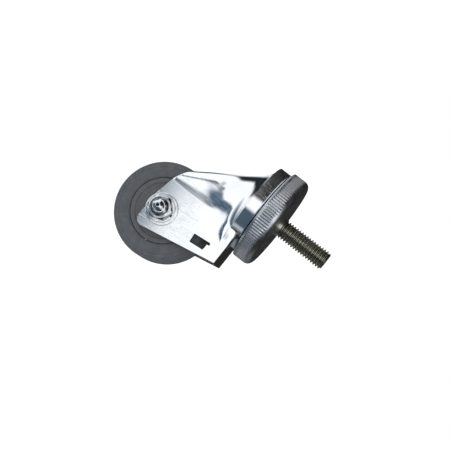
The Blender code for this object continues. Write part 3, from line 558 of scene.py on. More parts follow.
def spun(name, rows, steps, place=None, closed=False, sweep=2 * pi, start=0.0):
    """A solid about its own Z axis through rows of (radius, height), each a number or a value per step.

    A closed one joins its last row to its first; the others begin and end on the axis.
    A sweep of less than a turn gets a flat face at each end.
    """
    whole = sweep > 2 * pi - 1e-6
    count = steps if whole else steps + 1
    turns = start + sweep * np.arange(count) / steps
    points = []
    for radius, height in rows:
        radius = np.broadcast_to(radius, count)
        height = np.broadcast_to(height, count)
        points += list(zip(radius * np.cos(turns), radius * np.sin(turns), height))
    faces = []
    last = len(rows) if closed else len(rows) - 1
    for i in range(last):
        low = i * count
        high = (i + 1) % len(rows) * count
        for j in range(steps):
            k = (j + 1) % count
            faces.append((low + j, low + k, high + k, high + j))
    if not whole:
        faces.append([i * count for i in range(len(rows))])
        faces.append([i * count + steps for i in range(len(rows))])
    made = solid(name, points, faces)
    if place:
        made.data.transform(place)
    return made


def rounded(corners, segments=4):
    """A closed profile through (radius, height, fillet) corners, with an arc for each fillet."""
    points = []
    for i, (radius, height, fillet) in enumerate(corners):
        here = Vector((radius, height))
        if not fillet:
            points.append((radius, height))
            continue
        back = Vector(corners[i - 1][:2]) - here
        ahead = Vector(corners[(i + 1) % len(corners)][:2]) - here
        half = back.angle(ahead) / 2
        reach = min(fillet / tan(half), 0.49 * back.length, 0.49 * ahead.length)
        middle = here + (back.normalized() + ahead.normalized()).normalized() * reach / cos(half)
        first = here + back.normalized() * reach - middle
        last = here + ahead.normalized() * reach - middle
        span = pi - 2 * half
        for k in range(segments + 1):
            part = span * k / segments
            spot = middle + (first * sin(span - part) + last * sin(part)) / sin(span)
            points.append((spot.x, spot.y))
    return points


def hex_radius(steps, flats):
    """A hexagon's reach at each step, with flats facing +X and -X and its corners slightly worn."""
    turns = 2 * pi * np.arange(steps) / steps
    off = np.abs((turns + pi / 6) % (pi / 3) - pi / 6)
    return np.minimum(flats / 2 / np.cos(off), flats / 2 / cos(pi / 6) * 0.992)


def hex_rows(steps, flats, seat, end, edge=0.12 * MM):
    """The outer rows of a hex from its seat to its chamfered end."""
    outwards = 1 if end > seat else -1
    side = hex_radius(steps, flats)
    face = flats / 2 * 0.96
    drop = outwards * np.maximum(side - face, 0) * tan(radians(30))
    return [
        (side - edge, seat),
        (side, seat + outwards * edge),
        (side, end - drop - outwards * edge),
        (side - edge * 1.5, end - drop + outwards * edge * 0.4),
        (face + edge, end - outwards * edge * 0.5),
        (face - edge, end),
    ]


def combined(base, *others):
    """The base object after Booleans with (operation, object) pairs, one by one; the objects are removed."""
    for operation, other in others:
        modifier = base.modifiers.new(operation.title(), "BOOLEAN")
        modifier.operation = operation
        modifier.object = other
        modifier.solver = "EXACT"
        applied(base, [other])
        tidied(base.data)
    return base


def applied(obj, helpers=()):
    """Bakes an object's modifiers into its mesh and removes its helpers."""
    bpy.context.view_layer.update()
    graph = bpy.context.evaluated_depsgraph_get()
    mesh = bpy.data.meshes.new_from_object(obj.evaluated_get(graph))
    obj.modifiers.clear()
    obj.data = mesh
    for helper in helpers:
        bpy.data.objects.remove(helper, do_unlink=True)
    return obj


def finished(obj, body, finish, nodes, sharp=32):
    """Gives a piece its material, shading and body, and hides the CAD nodes that it stands for."""
    mesh = obj.data
    mesh.materials.clear()
    mesh.materials.append(Finishes.get(finish))
    for polygon in mesh.polygons:
        polygon.material_index = 0
    if sharp < 180:
        mesh.shade_smooth()
        mesh.set_sharp_from_angle(angle=radians(sharp))
    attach(obj, body)
    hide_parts(*nodes)
    return obj


def painted(nodes, finish):
    """Gives CAD nodes that stay as they are a procedural material."""
    for name in nodes:
        mesh = frame["nodes"][name].data
        mesh.materials.clear()
        mesh.materials.append(Finishes.get(finish))


# ---------------------------------------------------------------- geometry nodes


def new_tree(name, sizes):
    """An empty Geometry Nodes tree with a named input for each size; returns its graph and inputs."""
    tree = bpy.data.node_groups.new(name, "GeometryNodeTree")
    tree.interface.new_socket("Geometry", in_out="OUTPUT", socket_type="NodeSocketGeometry")
    tree.interface.new_socket("Geometry", in_out="INPUT", socket_type="NodeSocketGeometry")
    for label, kind in sizes.items():
        tree.interface.new_socket(label, in_out="INPUT", socket_type="NodeSocket" + kind)
    tree.interface.new_socket("Material", in_out="INPUT", socket_type="NodeSocketMaterial")
    graph = Graph(tree)
    source = tree.nodes.new("NodeGroupInput")
    given = {output.name: Value(graph, output) for output in source.outputs if output.name}
    return graph, given


def end_tree(graph, geometry, material):
    """Realizes the instances, sets the material and closes the tree."""
    plain = graph.add("GeometryNodeRealizeInstances", None, {0: geometry})
    shown = graph.add("GeometryNodeSetMaterial", None, {"Geometry": plain, "Material": material})
    graph.add("NodeGroupOutput", None, {0: shown})
    return graph.tree


def grown(obj, tree, finish, sizes):
    """Runs a tree on an object and leaves the result as its plain mesh."""
    modifier = obj.modifiers.new(tree.name, "NODES")
    modifier.node_group = tree
    values = {**sizes, "Material": Finishes.get(finish)}
    for item in tree.interface.items_tree:
        if item.in_out == "INPUT" and item.name in values:
            modifier[item.identifier] = values[item.name]
    return applied(obj)


def thread_tree():
    """A threaded rod: a grid wound round Z whose rows climb one pitch a turn and follow a V profile."""
    sizes = {"Radius": "Float", "Pitch": "Float", "Depth": "Float", "Tip": "Float", "Low": "Float"}
    sizes |= {"Thread From": "Float", "High": "Float", "Steps": "Int"}
    graph, given = new_tree("helical thread", sizes)
    radius, pitch, low, high = (given[name] for name in ("Radius", "Pitch", "Low", "High"))
    spare = 2
    turns = low.math("CEIL", (high - low) / pitch) + 2 * spare
    across = 17
    root_flat = 0.25
    flank_width = 0.625
    inputs = {"Size X": 1, "Size Y": 1, "Vertices X": turns * given["Steps"] + 1, "Vertices Y": across}
    grid = graph.add("GeometryNodeMeshGrid", None, inputs)
    x, y, _ = graph.parts(graph.add("GeometryNodeInputPosition"))
    turn = (x + 0.5) * turns - spare
    rise = y + 0.5
    level = low + (turn + rise) * pitch
    flank = ((1 - abs(rise * 2 - 1) - root_flat) / flank_width).clamped()
    runout = ((given["Thread From"] + pitch - level) / pitch).clamped()
    cut = given["Depth"] * (1 - flank) * (1 - runout)
    reach = (radius - cut).least(radius - given["Tip"] + (high - level).most(0))
    under = ((low - level) / pitch).clamped()
    over = ((level - high) / pitch).clamped()
    reach = reach * (1 - under) * (1 - over)
    angle = turn * (2 * pi)
    spot = graph.vector(reach * angle.cosine(), reach * angle.sine(), level.most(low).least(high))
    wound = graph.add("GeometryNodeSetPosition", None, {"Geometry": grid, "Position": spot})
    closed = graph.add("GeometryNodeMergeByDistance", None, {"Geometry": wound, "Distance": 0.002 * MM})
    return end_tree(graph, closed, given["Material"])


def rib_tree():
    """Ribs round a turned rim: every point on it moves in by a wave of the angle, fading at both ends."""
    band = 0.15 * MM
    fading = 0.7 * MM
    sharpness = 1.6
    sizes = {"Ribs": "Int", "Depth": "Float", "Rim Radius": "Float", "Top": "Float", "Bottom": "Float"}
    graph, given = new_tree("rim ribs", sizes)
    x, y, z = graph.parts(graph.add("GeometryNodeInputPosition"))
    reach = (x * x + y * y) ** 0.5
    angle = y.math("ARCTAN2", y, x)
    wave = (angle * given["Ribs"]).cosine() * 0.5 + 0.5
    on_rim = reach > given["Rim Radius"] - band
    fade = (given["Top"] - z).rising(0, fading) * (z - given["Bottom"]).rising(0, fading)
    inward = wave ** sharpness * fade * on_rim * given["Depth"] / reach
    shift = graph.vector(x * inward * -1, y * inward * -1, 0)
    ribbed = graph.add("GeometryNodeSetPosition", None, {"Geometry": given["Geometry"], "Offset": shift})
    return end_tree(graph, ribbed, given["Material"])


def orbit_tree():
    """Copies of the incoming piece, evenly spaced on an orbit round Z."""
    sizes = {"Count": "Int", "Orbit": "Float", "Level": "Float", "Phase": "Float"}
    graph, given = new_tree("orbit row", sizes)
    circle = graph.add("GeometryNodeMeshCircle", None, {"Vertices": given["Count"], "Radius": given["Orbit"]})
    inputs = {"Points": circle, "Instance": given["Geometry"]}
    row = graph.add("GeometryNodeInstanceOnPoints", None, inputs)
    inputs = {
        "Geometry": row,
        "Translation": graph.vector(0, 0, given["Level"]),
        "Rotation": graph.vector(0, 0, given["Phase"]),
    }
    moved = graph.add("GeometryNodeTransform", None, inputs)
    return end_tree(graph, moved, given["Material"])


# ---------------------------------------------------------------- stem, cap and balls


def make_stem(context):
    s = context.scene.caster_stem
    sizes = {
        "Radius": s.radius,
        "Pitch": s.pitch,
        "Depth": s.depth,
        "Tip": s.tip,
        "Low": RACE_HIGH.z - MM,
        "Thread From": s.plain,
        "High": STEM_HIGH.z,
        "Steps": 48,
    }
    thread = grown(new_object("stem", bpy.data.meshes.new("stem")), thread_tree(), "stem_zinc", sizes)
    tidied(thread.data)
    head_top = STEM_LOW.z + s.head
    top = RACE_HIGH.z
    shoulder = RACE_LOW.z
    dome = []
    for i in range(9):
        turn = pi / 2 * i / 8
        dome.append((s.head_radius * cos(turn), head_top - s.head * (0.3 + 0.7 * sin(turn))))
    rows = [
        (0, top),
        (s.collar - 0.4 * MM, top),
        (s.collar, top - 0.4 * MM),
        (s.collar, shoulder),
        (s.kingpin, shoulder - MM),
        (s.kingpin, head_top),
        (s.head_radius - 0.3 * MM, head_top),
        (s.head_radius, head_top - 0.3 * MM),
    ]
    kingpin = spun("kingpin", rows + dome, 96)
    stem = combined(thread, ("UNION", kingpin))
    return finished(stem, "mounting_stem", "stem_zinc", ["threaded_stem"], 40)


def make_cap(context):
    s = context.scene.caster_cap
    stem = context.scene.caster_stem
    inside = CAP_RADIUS - s.wall
    foot = 0.5 * MM
    inner = 0.3 * MM
    bore = stem.radius + GAP
    bottom = CAP_LOW.z
    corners = [
        (bore, 0, 0.4 * MM),
        (CAP_RADIUS, 0, s.shoulder),
        (CAP_RADIUS, bottom, foot),
        (inside, bottom, inner),
        (inside, -s.plate, inner),
        (bore, -s.plate, inner),
    ]
    rows = rounded(corners, 8)
    start = rows.index(min(rows, key=lambda row: (abs(row[0] - CAP_RADIUS), -row[1])))
    rim_top = -s.shoulder
    rim_bottom = bottom + foot
    levels = [rim_top + (rim_bottom - rim_top) * i / 16 for i in range(1, 16)]
    rows[start + 1 : start + 1] = [(CAP_RADIUS, level) for level in levels]
    cap = spun("cap", rows, s.ribs * 6, closed=True)
    sizes = {
        "Ribs": s.ribs,
        "Depth": s.rib_depth,
        "Rim Radius": CAP_RADIUS,
        "Top": -s.shoulder * 0.6,
        "Bottom": bottom + 1.4 * MM,
    }
    grown(cap, rib_tree(), "cap_zinc", sizes)
    return finished(cap, "mounting_stem", "cap_zinc", ["swivel_cap"])


def ball_mesh(name, radius):
    rows = [(radius * sin(pi * i / 24), radius * cos(pi * i / 24)) for i in range(25)]
    return spun(name, rows, 40)


def orbit_row(name, piece, count, orbit, level, phase, finish):
    sizes = {"Count": count, "Orbit": orbit, "Level": level, "Phase": phase}
    tree = bpy.data.node_groups.get("orbit row") or orbit_tree()
    made = grown(piece, tree, finish, sizes)
    made.name = name
    return made


def make_balls(context):
    radius = context.scene.caster_cap.ball
    rows = (
        ("upper_ball_row", UPPER_BALLS, UPPER_BALL_LOW, UPPER_BALL_HIGH),
        ("lower_ball_row", LOWER_BALLS, LOWER_BALL_LOW, LOWER_BALL_HIGH),
    )
    for body, nodes, low, high in rows:
        middle = (low + high) / 2
        orbit = hypot(middle.x, middle.y)
        phase = pi / len(nodes)
        ball = ball_mesh(body, radius)
        balls = orbit_row(body + "_balls", ball, len(nodes), orbit, middle.z, phase, "hardened")
        finished(balls, body, "hardened", nodes, 60)


# ---------------------------------------------------------------- fork


def smooth(edge_a, edge_b, value):
    part = min(max((value - edge_a) / (edge_b - edge_a), 0), 1)
    return part * part * (3 - 2 * part)


def resampled(points, count):
    """The same line with its points at even steps along it."""
    line = np.array(points)
    along = np.concatenate([[0], np.cumsum(np.hypot(*np.diff(line, axis=0).T))])
    steps = np.linspace(0, along[-1], count)
    return list(zip(np.interp(steps, along, line[:, 0]), np.interp(steps, along, line[:, 1])))


class ForkShape:
    """Levels and sections of the fork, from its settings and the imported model."""

    def __init__(self, s):
        self.s = s
        self.crown_under = CROWN_TOP - s.crown_plate
        self.crown_bottom = CROWN_TOP - s.crown_depth
        self.plate_top = CROWN_TOP - s.plate_drop
        self.fold_x = AXLE.x + WHEEL_RADIUS - s.fold
        self.foot_x = AXLE.x + WHEEL_RADIUS + s.clearance
        self.slope = (CROWN_RADIUS - s.neck - self.foot_x) / (self.crown_bottom - AXLE.z)

    def section(self, z, inset):
        """Half of the section at a height: rear end, flat leg, then round the hood to its nose."""
        s = self.s
        side = LEG_SPREAD - inset
        level = min(z, self.crown_bottom)
        front = self.foot_x + self.slope * (level - AXLE.z)
        nose = front - self.fold_x - inset * hypot(1, self.slope)
        climb = (level - AXLE.z) / (self.crown_bottom - AXLE.z)
        bulge = s.bulge * max(climb, 0) ** 2.2
        power = 5.5 - 3.3 * smooth(0.1, 0.65, climb)
        rise = min(max(level - (self.crown_bottom - s.neck), 0), s.neck)
        spread = 1 - sqrt(max(1 - (rise / s.neck) ** 2, 0))
        rim = CROWN_RADIUS - GAP - inset
        hood = []
        for i in range(241):
            turn = pi / 2 * (i / 240) ** 1.5
            along = sin(turn) ** (2 / power)
            x = self.fold_x + nose * along
            y = side * max(cos(turn), 0) ** (2 / power) + bulge * sin(2 * turn)
            y -= s.crease * nose * along * (1 - along) ** 2
            scale = 1 + spread * (rim / hypot(x, y) - 1)
            hood.append((x * scale, y * scale))
        flare = hood[0][1] - side
        far = AXLE.x - s.rear_bottom - LEG_REACH
        settle = self.fold_x - LEG_FLARE
        leg = [(far, side)]
        for i in range(12):
            part = i / 12
            leg.append((settle + (hood[0][0] - settle) * part, side + flare * smooth(0, 1, part)))
        return leg + resampled(hood, 56)

    def bent(self, z):
        """The outer section, with the legs' upper corners rounded over into the rear plate."""
        bend = self.s.bend
        rise = min(max(z - (self.plate_top - bend), 0), bend)
        inset = bend - sqrt(max(bend**2 - rise**2, 0))
        return [(x, y * (1 - inset / LEG_SPREAD)) for x, y in self.section(z, 0)]

    def levels(self, top):
        """Heights from under the legs up to a top level, closer together in the neck's fillet."""
        low = LEG_BOTTOM - 4 * MM
        neck = self.crown_bottom - self.s.neck
        levels = [low + (neck - low) * i / 30 for i in range(31)]
        for i in range(1, 15):
            levels.append(self.crown_bottom - self.s.neck * (1 - sin(pi / 2 * i / 14)))
        return levels + [top]

    def bend_levels(self):
        bend = self.s.bend
        levels = self.levels(self.plate_top - bend)
        return levels + [self.plate_top - bend * (1 - sin(pi / 2 * i / 8)) for i in range(1, 9)]

    def outline(self):
        """The fork from the side: rear edge, rounded lower corner, sole, and the hood's lower edge."""
        s = self.s
        foot = Vector((AXLE.x - s.rear_bottom, LEG_BOTTOM))
        top = Vector((AXLE.x - s.rear_top, self.plate_top))
        up = (top - foot).normalized()
        lean = pi / 2 + Vector((0, 1)).angle(up)
        middle = foot + Vector((s.corner / tan(lean / 2), s.corner))
        front = AXLE.x + WHEEL_RADIUS
        points = [tuple(top + up * 10 * MM)]
        for i in range(13):
            turn = 1.5 * pi - (pi - lean) * (1 - i / 12)
            points.append((middle.x + s.corner * cos(turn), middle.y + s.corner * sin(turn)))
        knots = [
            (AXLE.x + 5 * MM, LEG_BOTTOM),
            (self.fold_x - 2.6 * MM, LEG_BOTTOM + 2.3 * MM),
            (self.fold_x + 2.4 * MM, LEG_BOTTOM + 3.7 * MM),
            (front - 3.1 * MM, AXLE.z - 1.8 * MM),
            (front + 4.5 * MM, AXLE.z + 5.0 * MM),
            (front + 20.0 * MM, AXLE.z + 19.0 * MM),
        ]
        points += curve_through(knots, 8)
        points += [
            (CROWN_RADIUS + 10 * MM, self.crown_bottom - 10 * MM),
            (CROWN_RADIUS + 10 * MM, 0),
            (points[0][0], 0),
        ]
        return points


def curve_through(knots, steps):
    """A smooth line through a few points, as a Catmull-Rom spline."""
    ends = [knots[0], *knots, knots[-1]]
    points = [knots[0]]
    for a, b, c, d in zip(ends, ends[1:], ends[2:], ends[3:]):
        for i in range(1, steps + 1):
            t = i / steps
            spot = []
            for p, q, r, w in zip(a, b, c, d):
                square = 2 * p - 5 * q + 4 * r - w
                cube = 3 * q - p - 3 * r + w
                spot.append(0.5 * (2 * q + (r - p) * t + square * t**2 + cube * t**3))
            points.append(tuple(spot))
    return points


def loft(name, levels, section):
    """A closed solid through the same number of points at each level, mirrored across the XZ plane."""
    points = []
    for z in levels:
        half = section(z)
        points += [(x, y, z) for x, y in half]
        points += [(x, -y, z) for x, y in reversed(half[:-1])]
    count = len(points) // len(levels)
    faces = []
    for i in range(len(levels) - 1):
        for j in range(count):
            k = (j + 1) % count
            faces.append((i * count + j, i * count + k, (i + 1) * count + k, (i + 1) * count + j))
    faces.append(list(range(count)))
    faces.append(list(range(len(points) - count, len(points))))
    return solid(name, points, faces)


def slab(name, outline, half):
    """A flat outline in the XZ plane, as thick as twice the half along Y."""
    count = len(outline)
    points = [(x, -half, z) for x, z in outline] + [(x, half, z) for x, z in outline]
    faces = [list(range(count)), list(range(count, 2 * count))]
    for i in range(count):
        j = (i + 1) % count
        faces.append((i, j, count + j, count + i))
    return solid(name, points, faces)


def rod(name, radius, low, high, steps=96, place=None):
    return spun(name, [(0, high), (radius, high), (radius, low), (0, low)], steps, place)


def groove_ring(name, orbit, radius, level):
    rows = [(orbit + radius * cos(pi * i / 12), level + radius * sin(pi * i / 12)) for i in range(24)]
    return spun(name, rows, 120, closed=True)


def slot_outline(shape):
    """The leg's window: a rectangle with small corner radii, leaning with the leg's rear edge."""
    s = shape.s
    wide = s.slot_width / 2
    tall = s.slot_length / 2
    corner = SLOT_CORNER
    corners = [(wide, tall, corner), (-wide, tall, corner), (-wide, -tall, corner), (wide, -tall, corner)]
    lean = SLOT_LEAN
    points = []
    for x, z in rounded(corners, 4):
        along = x * cos(lean) + z * sin(lean)
        up = z * cos(lean) - x * sin(lean)
        points.append((AXLE.x - s.slot_behind + along, shape.plate_top - s.slot_drop + up))
    return points


def make_fork(context):
    s = context.scene.caster_fork
    shape = ForkShape(s)
    through = LEG_SPREAD + CUT_PAST
    axle_hole = context.scene.caster_axle.radius + GAP
    upper_orbit = hypot(*((UPPER_BALL_LOW + UPPER_BALL_HIGH) / 2).xy)
    lower_orbit = hypot(*((LOWER_BALL_LOW + LOWER_BALL_HIGH) / 2).xy)
    upper_level = (UPPER_BALL_LOW.z + UPPER_BALL_HIGH.z) / 2
    lower_level = (LOWER_BALL_LOW.z + LOWER_BALL_HIGH.z) / 2
    crown = [
        (0, CROWN_TOP),
        (CROWN_RADIUS - 0.8 * MM, CROWN_TOP),
        (CROWN_RADIUS - 0.25 * MM, CROWN_TOP - 0.25 * MM),
        (CROWN_RADIUS, CROWN_TOP - 0.8 * MM),
        (CROWN_RADIUS, shape.crown_bottom),
        (0, shape.crown_bottom),
    ]
    dome = CROWN_RADIUS - s.sheet - GAP - MM
    dome_low = shape.crown_bottom - DOME_MOUTH
    room = WHEEL_HALF + MM
    hollow = loft("hollow", shape.levels(shape.plate_top - s.sheet), lambda z: shape.section(z, s.sheet))
    fork = combined(
        loft("fork_body", shape.bend_levels(), shape.bent),
        ("UNION", spun("crown", crown, 160)),
        ("INTERSECT", slab("outline", shape.outline(), OUTLINE_HALF)),
        ("DIFFERENCE", rod("room", WHEEL_RADIUS + WHEEL_ROOM, -room, room, 128, ON_AXLE)),
        ("DIFFERENCE", hollow),
        ("DIFFERENCE", rod("dome", dome, dome_low, shape.crown_under, 120)),
        ("DIFFERENCE", groove_ring("upper_groove", upper_orbit, s.ball_groove, upper_level)),
        ("DIFFERENCE", groove_ring("lower_groove", lower_orbit, s.ball_groove, lower_level)),
        ("DIFFERENCE", rod("kingpin_hole", KINGPIN_HOLE_RADIUS, shape.crown_under - MM, CROWN_TOP + MM)),
        ("DIFFERENCE", rod("axle_hole", axle_hole, -through, through, 96, ON_AXLE)),
        ("DIFFERENCE", slab("slots", slot_outline(shape), through)),
    )
    tidied(fork.data, FORK_MERGE)
    rounding = fork.modifiers.new("Edges", "BEVEL")
    rounding.width = s.edge
    rounding.segments = 2
    rounding.limit_method = "ANGLE"
    rounding.angle_limit = BEVEL_ANGLE
    rounding.use_clamp_overlap = True
    applied(fork)
    even = fork.modifiers.new("Even shading", "WEIGHTED_NORMAL")
    even.keep_sharp = True
    fork.data.shade_smooth()
    fork.data.set_sharp_from_angle(angle=FORK_SHARP_ANGLE)
    applied(fork)
    return finished(fork, "fork_assembly", "fork_plate", ["fork"], 180)


# ---------------------------------------------------------------- axle


def make_bolt(context):
    s = context.scene.caster_axle
    seat = BOLT_LOW.y + BOLT_HEAD_HEIGHT
    sizes = {
        "Radius": s.radius,
        "Pitch": s.pitch,
        "Depth": s.depth,
        "Tip": s.chamfer,
        "Low": seat - MM,
        "Thread From": BOLT_HIGH.y - s.threaded,
        "High": BOLT_HIGH.y,
        "Steps": 32,
    }
    tree = bpy.data.node_groups.get("helical thread") or thread_tree()
    shank = grown(new_object("bolt", bpy.data.meshes.new("bolt")), tree, "hardware", sizes)
    tidied(shank.data)
    shank.data.transform(ON_AXLE)
    steps = 144
    rows = [(0, seat)] + hex_rows(steps, s.flats, seat, BOLT_LOW.y) + [(0, BOLT_LOW.y)]
    head = spun("bolt_head", rows, steps, ON_AXLE)
    floor = BOLT_HIGH.y - s.grease_depth
    bolt = combined(
        shank,
        ("UNION", head),
        ("DIFFERENCE", rod("bore", s.grease_bore, floor, BOLT_HIGH.y + MM, 48, ON_AXLE)),
        ("DIFFERENCE", rod("feed", s.grease_port, -MM, floor + MM, 24, ON_AXLE)),
    )
    return finished(bolt, "fork_assembly", "hardware", ["axle_bolt"])


def make_nut(context):
    s = context.scene.caster_axle
    steps = 144
    bore = s.radius + GAP
    rows = hex_rows(steps, s.flats, NUT_LOW.y, NUT_HIGH.y)
    inside = [
        (bore + 0.7 * MM, NUT_HIGH.y),
        (bore, NUT_HIGH.y - 0.6 * MM),
        (bore, NUT_LOW.y + 0.5 * MM),
        (bore + 0.6 * MM, NUT_LOW.y),
    ]
    place = ON_AXLE @ Matrix.Rotation(s.nut_turn, 4, "Z")
    nut = spun("nut", rows + inside, steps, place, closed=True)
    return finished(nut, "fork_assembly", "nut", ["axle_nut"])


def washer_corners(radius, bore, low, high, outer, inner):
    """A washer's section, with a fillet for its outer and its inner edges."""
    return [(radius, high, outer), (radius, low, outer), (bore, low, inner), (bore, high, inner)]


def make_washers(context):
    s = context.scene.caster_axle
    bore = s.radius + GAP
    near = ("washer_near", "nut_washer", WASHER_LOW, WASHER_HIGH)
    far = ("washer_far", "head_washer", HEAD_WASHER_LOW, HEAD_WASHER_HIGH)
    for name, node, low, high in (near, far):
        radius = (high.z - low.z) / 2
        corners = washer_corners(radius, bore, low.y, high.y, 0.25 * MM, 0.15 * MM)
        washer = spun(name, rounded(corners), 120, ON_AXLE, closed=True)
        finished(washer, "fork_assembly", "hardware", [node])
    radius = (LOCK_HIGH.x - LOCK_LOW.x) / 2
    edge = 0.22 * MM
    corners = washer_corners(radius, bore, LOCK_LOW.y, LOCK_HIGH.y, edge, edge)
    gap = 2 * pi * s.split
    start = -pi / 2 + gap / 2
    lock = spun("spring_washer", rounded(corners), 120, ON_AXLE, True, 2 * pi - gap, start)
    finished(lock, "fork_assembly", "hardware", ["lock_washer"])


def make_fitting(context):
    s = context.scene.caster_axle
    steps = 96
    base = BOLT_HIGH.y + GAP
    tip = FITTING_HIGH.y
    hex_top = base + s.fitting_hex
    shank = 2.6 * MM
    head = tip - 2.6 * MM
    chamfer = 0.3 * MM
    rows = [
        (s.fitting_bore, FITTING_LOW.y),
        (shank - chamfer, FITTING_LOW.y),
        (shank, FITTING_LOW.y + chamfer),
        (shank, base),
    ]
    rows += hex_rows(steps, s.fitting_flats, base, hex_top, 0.08 * MM)
    cone = s.fitting_neck + 1.1 * MM
    profile = [
        (cone, hex_top, 0),
        (s.fitting_neck, hex_top + 0.9 * MM, 0.6 * MM),
        (s.fitting_neck, head - 0.4 * MM, 0.5 * MM),
        (s.fitting_head, head + 0.5 * MM, 0.4 * MM),
        (s.fitting_head, tip - 1.1 * MM, 0.8 * MM),
        (1.5 * MM, tip, 0.25 * MM),
        (1.0 * MM, tip, 0),
        (1.0 * MM, tip - 0.4 * MM, 0),
        (s.fitting_bore, tip - 0.9 * MM, 0),
    ]
    rows += rounded(profile, 5)
    fitting = spun("grease_nipple", rows, steps, ON_AXLE, closed=True)
    finished(fitting, "fork_assembly", "hardware", ["grease_fitting"])
    radius = (CHECK_HIGH.y - CHECK_LOW.y) / 2
    ball = ball_mesh("check_ball_fine", radius)
    ball.data.transform(Matrix.Translation((CHECK_LOW + CHECK_HIGH) / 2))
    finished(ball, "check_ball", "dark", ["fitting_ball"], 60)


# ---------------------------------------------------------------- wheel


def make_tyre(context):
    s = context.scene.caster_wheel
    flat = s.tread / 2
    bore = s.core + GAP
    inner = WHEEL_HALF - s.recess
    outer = []
    for i in range(17):
        part = i / 16
        outer.append((WHEEL_RADIUS - s.drop * part**2.4, flat + (WHEEL_HALF - flat) * part))
    edge = outer.pop()[0]
    outer += [
        (edge, WHEEL_HALF - 0.35 * MM),
        (edge - 0.12 * MM, WHEEL_HALF - 0.1 * MM),
        (edge - 0.45 * MM, WHEEL_HALF),
    ]
    groove = edge - 2.1 * MM
    face = [
        (groove + 0.5 * MM, WHEEL_HALF),
        (groove + 0.15 * MM, WHEEL_HALF - 0.22 * MM),
        (groove - 0.15 * MM, WHEEL_HALF - 0.22 * MM),
        (groove - 0.5 * MM, WHEEL_HALF),
        (bore + 1.1 * MM, WHEEL_HALF),
        (bore + 0.5 * MM, WHEEL_HALF - 0.2 * MM),
        (bore, inner),
    ]
    side = outer + face
    rows = side[::-1] + [(radius, -along) for radius, along in side]
    tyre = spun("tyre_rubber", rows, 180, ON_AXLE, closed=True)
    return finished(tyre, "wheel", "tyre", ["tyre"])


def make_core(context):
    s = context.scene.caster_wheel
    rim = WHEEL_HALF - s.recess
    hub = CORE_HIGH.y
    web = s.web / 2
    sleeve = SLEEVE_HIGH.z - AXLE.z + GAP
    hub_radius = sleeve + s.hub_wall
    inner_rim = s.core - s.core_rim
    near = [
        (sleeve, hub, 0.3 * MM),
        (hub_radius, hub, 0.5 * MM),
        (hub_radius + 0.4 * MM, web, 0.3 * MM),
        (inner_rim, web, 0.15 * MM),
        (inner_rim + 0.4 * MM, rim, 0.15 * MM),
        (s.core, rim, 0.3 * MM),
    ]
    far = [(radius, -along, fillet) for radius, along, fillet in reversed(near)]
    core = spun("hard_core", rounded(near + far), 144, ON_AXLE, closed=True)
    return finished(core, "wheel", "core", ["wheel_core"])


def make_rollers(context):
    radius = (ROLLER_HIGH.z - ROLLER_LOW.z) / 2
    middle = (ROLLER_LOW + ROLLER_HIGH) / 2
    orbit = middle.x - AXLE.x
    half = (ROLLER_HIGH.y - ROLLER_LOW.y) / 2
    edge = 0.25 * MM
    rows = [
        (0, half),
        (radius - edge, half),
        (radius - 0.07 * MM, half - 0.07 * MM),
        (radius, half - edge),
        (radius, edge - half),
        (radius - 0.07 * MM, 0.07 * MM - half),
        (radius - edge, -half),
        (0, -half),
    ]
    roller = spun("roller", rows, 32)
    row = orbit_row("roller_set", roller, len(ROLLERS), orbit, 0, 0, "hardened")
    row.data.transform(ON_AXLE)
    finished(row, "roller_row", "hardened", ROLLERS)


# ---------------------------------------------------------------- stage


def make_stage(context):
    s = context.scene.caster_stage
    scene = context.scene
    scene.view_settings.view_transform = "Standard"
    scene.view_settings.look = "None"
    level = TYRE_LOW.z
    half = FLOOR_HALF
    mesh = bpy.data.meshes.new("floor")
    corners = [(-half, -half, level), (half, -half, level), (half, half, level), (-half, half, level)]
    mesh.from_pydata(corners, [], [(0, 1, 2, 3)])
    floor = new_object("floor", mesh)

    def paint(graph):
        matt = graph.add("ShaderNodeBsdfDiffuse", None, {"Color": opaque(s.floor)})
        glow = graph.add("ShaderNodeEmission", None, {"Color": (1, 1, 1, 1), "Strength": FLOOR_GLOW})
        return graph.add("ShaderNodeMixShader", None, {0: FLOOR_GLOW_SHARE, 1: matt, 2: glow})

    mesh.materials.append(new_material("pale_floor", paint))
    floor.visible_glossy = False
    make_world(scene)
    camera = bpy.data.cameras.new("camera")
    camera.lens = s.lens
    camera.sensor_width = SENSOR_WIDTH
    camera.clip_start = CLIP_START
    seen = bpy.data.objects.new("camera", camera)
    scene.collection.objects.link(seen)
    forward = Vector(CAMERA_AHEAD).normalized()
    right = Vector(CAMERA_RIGHT)
    right = (right - forward * right.dot(forward)).normalized()
    up = right.cross(forward)
    turn = Matrix((right, up, -forward)).transposed().to_4x4()
    seen.matrix_world = Matrix.Translation(CAMERA_PLACE) @ turn
    scene.camera = seen


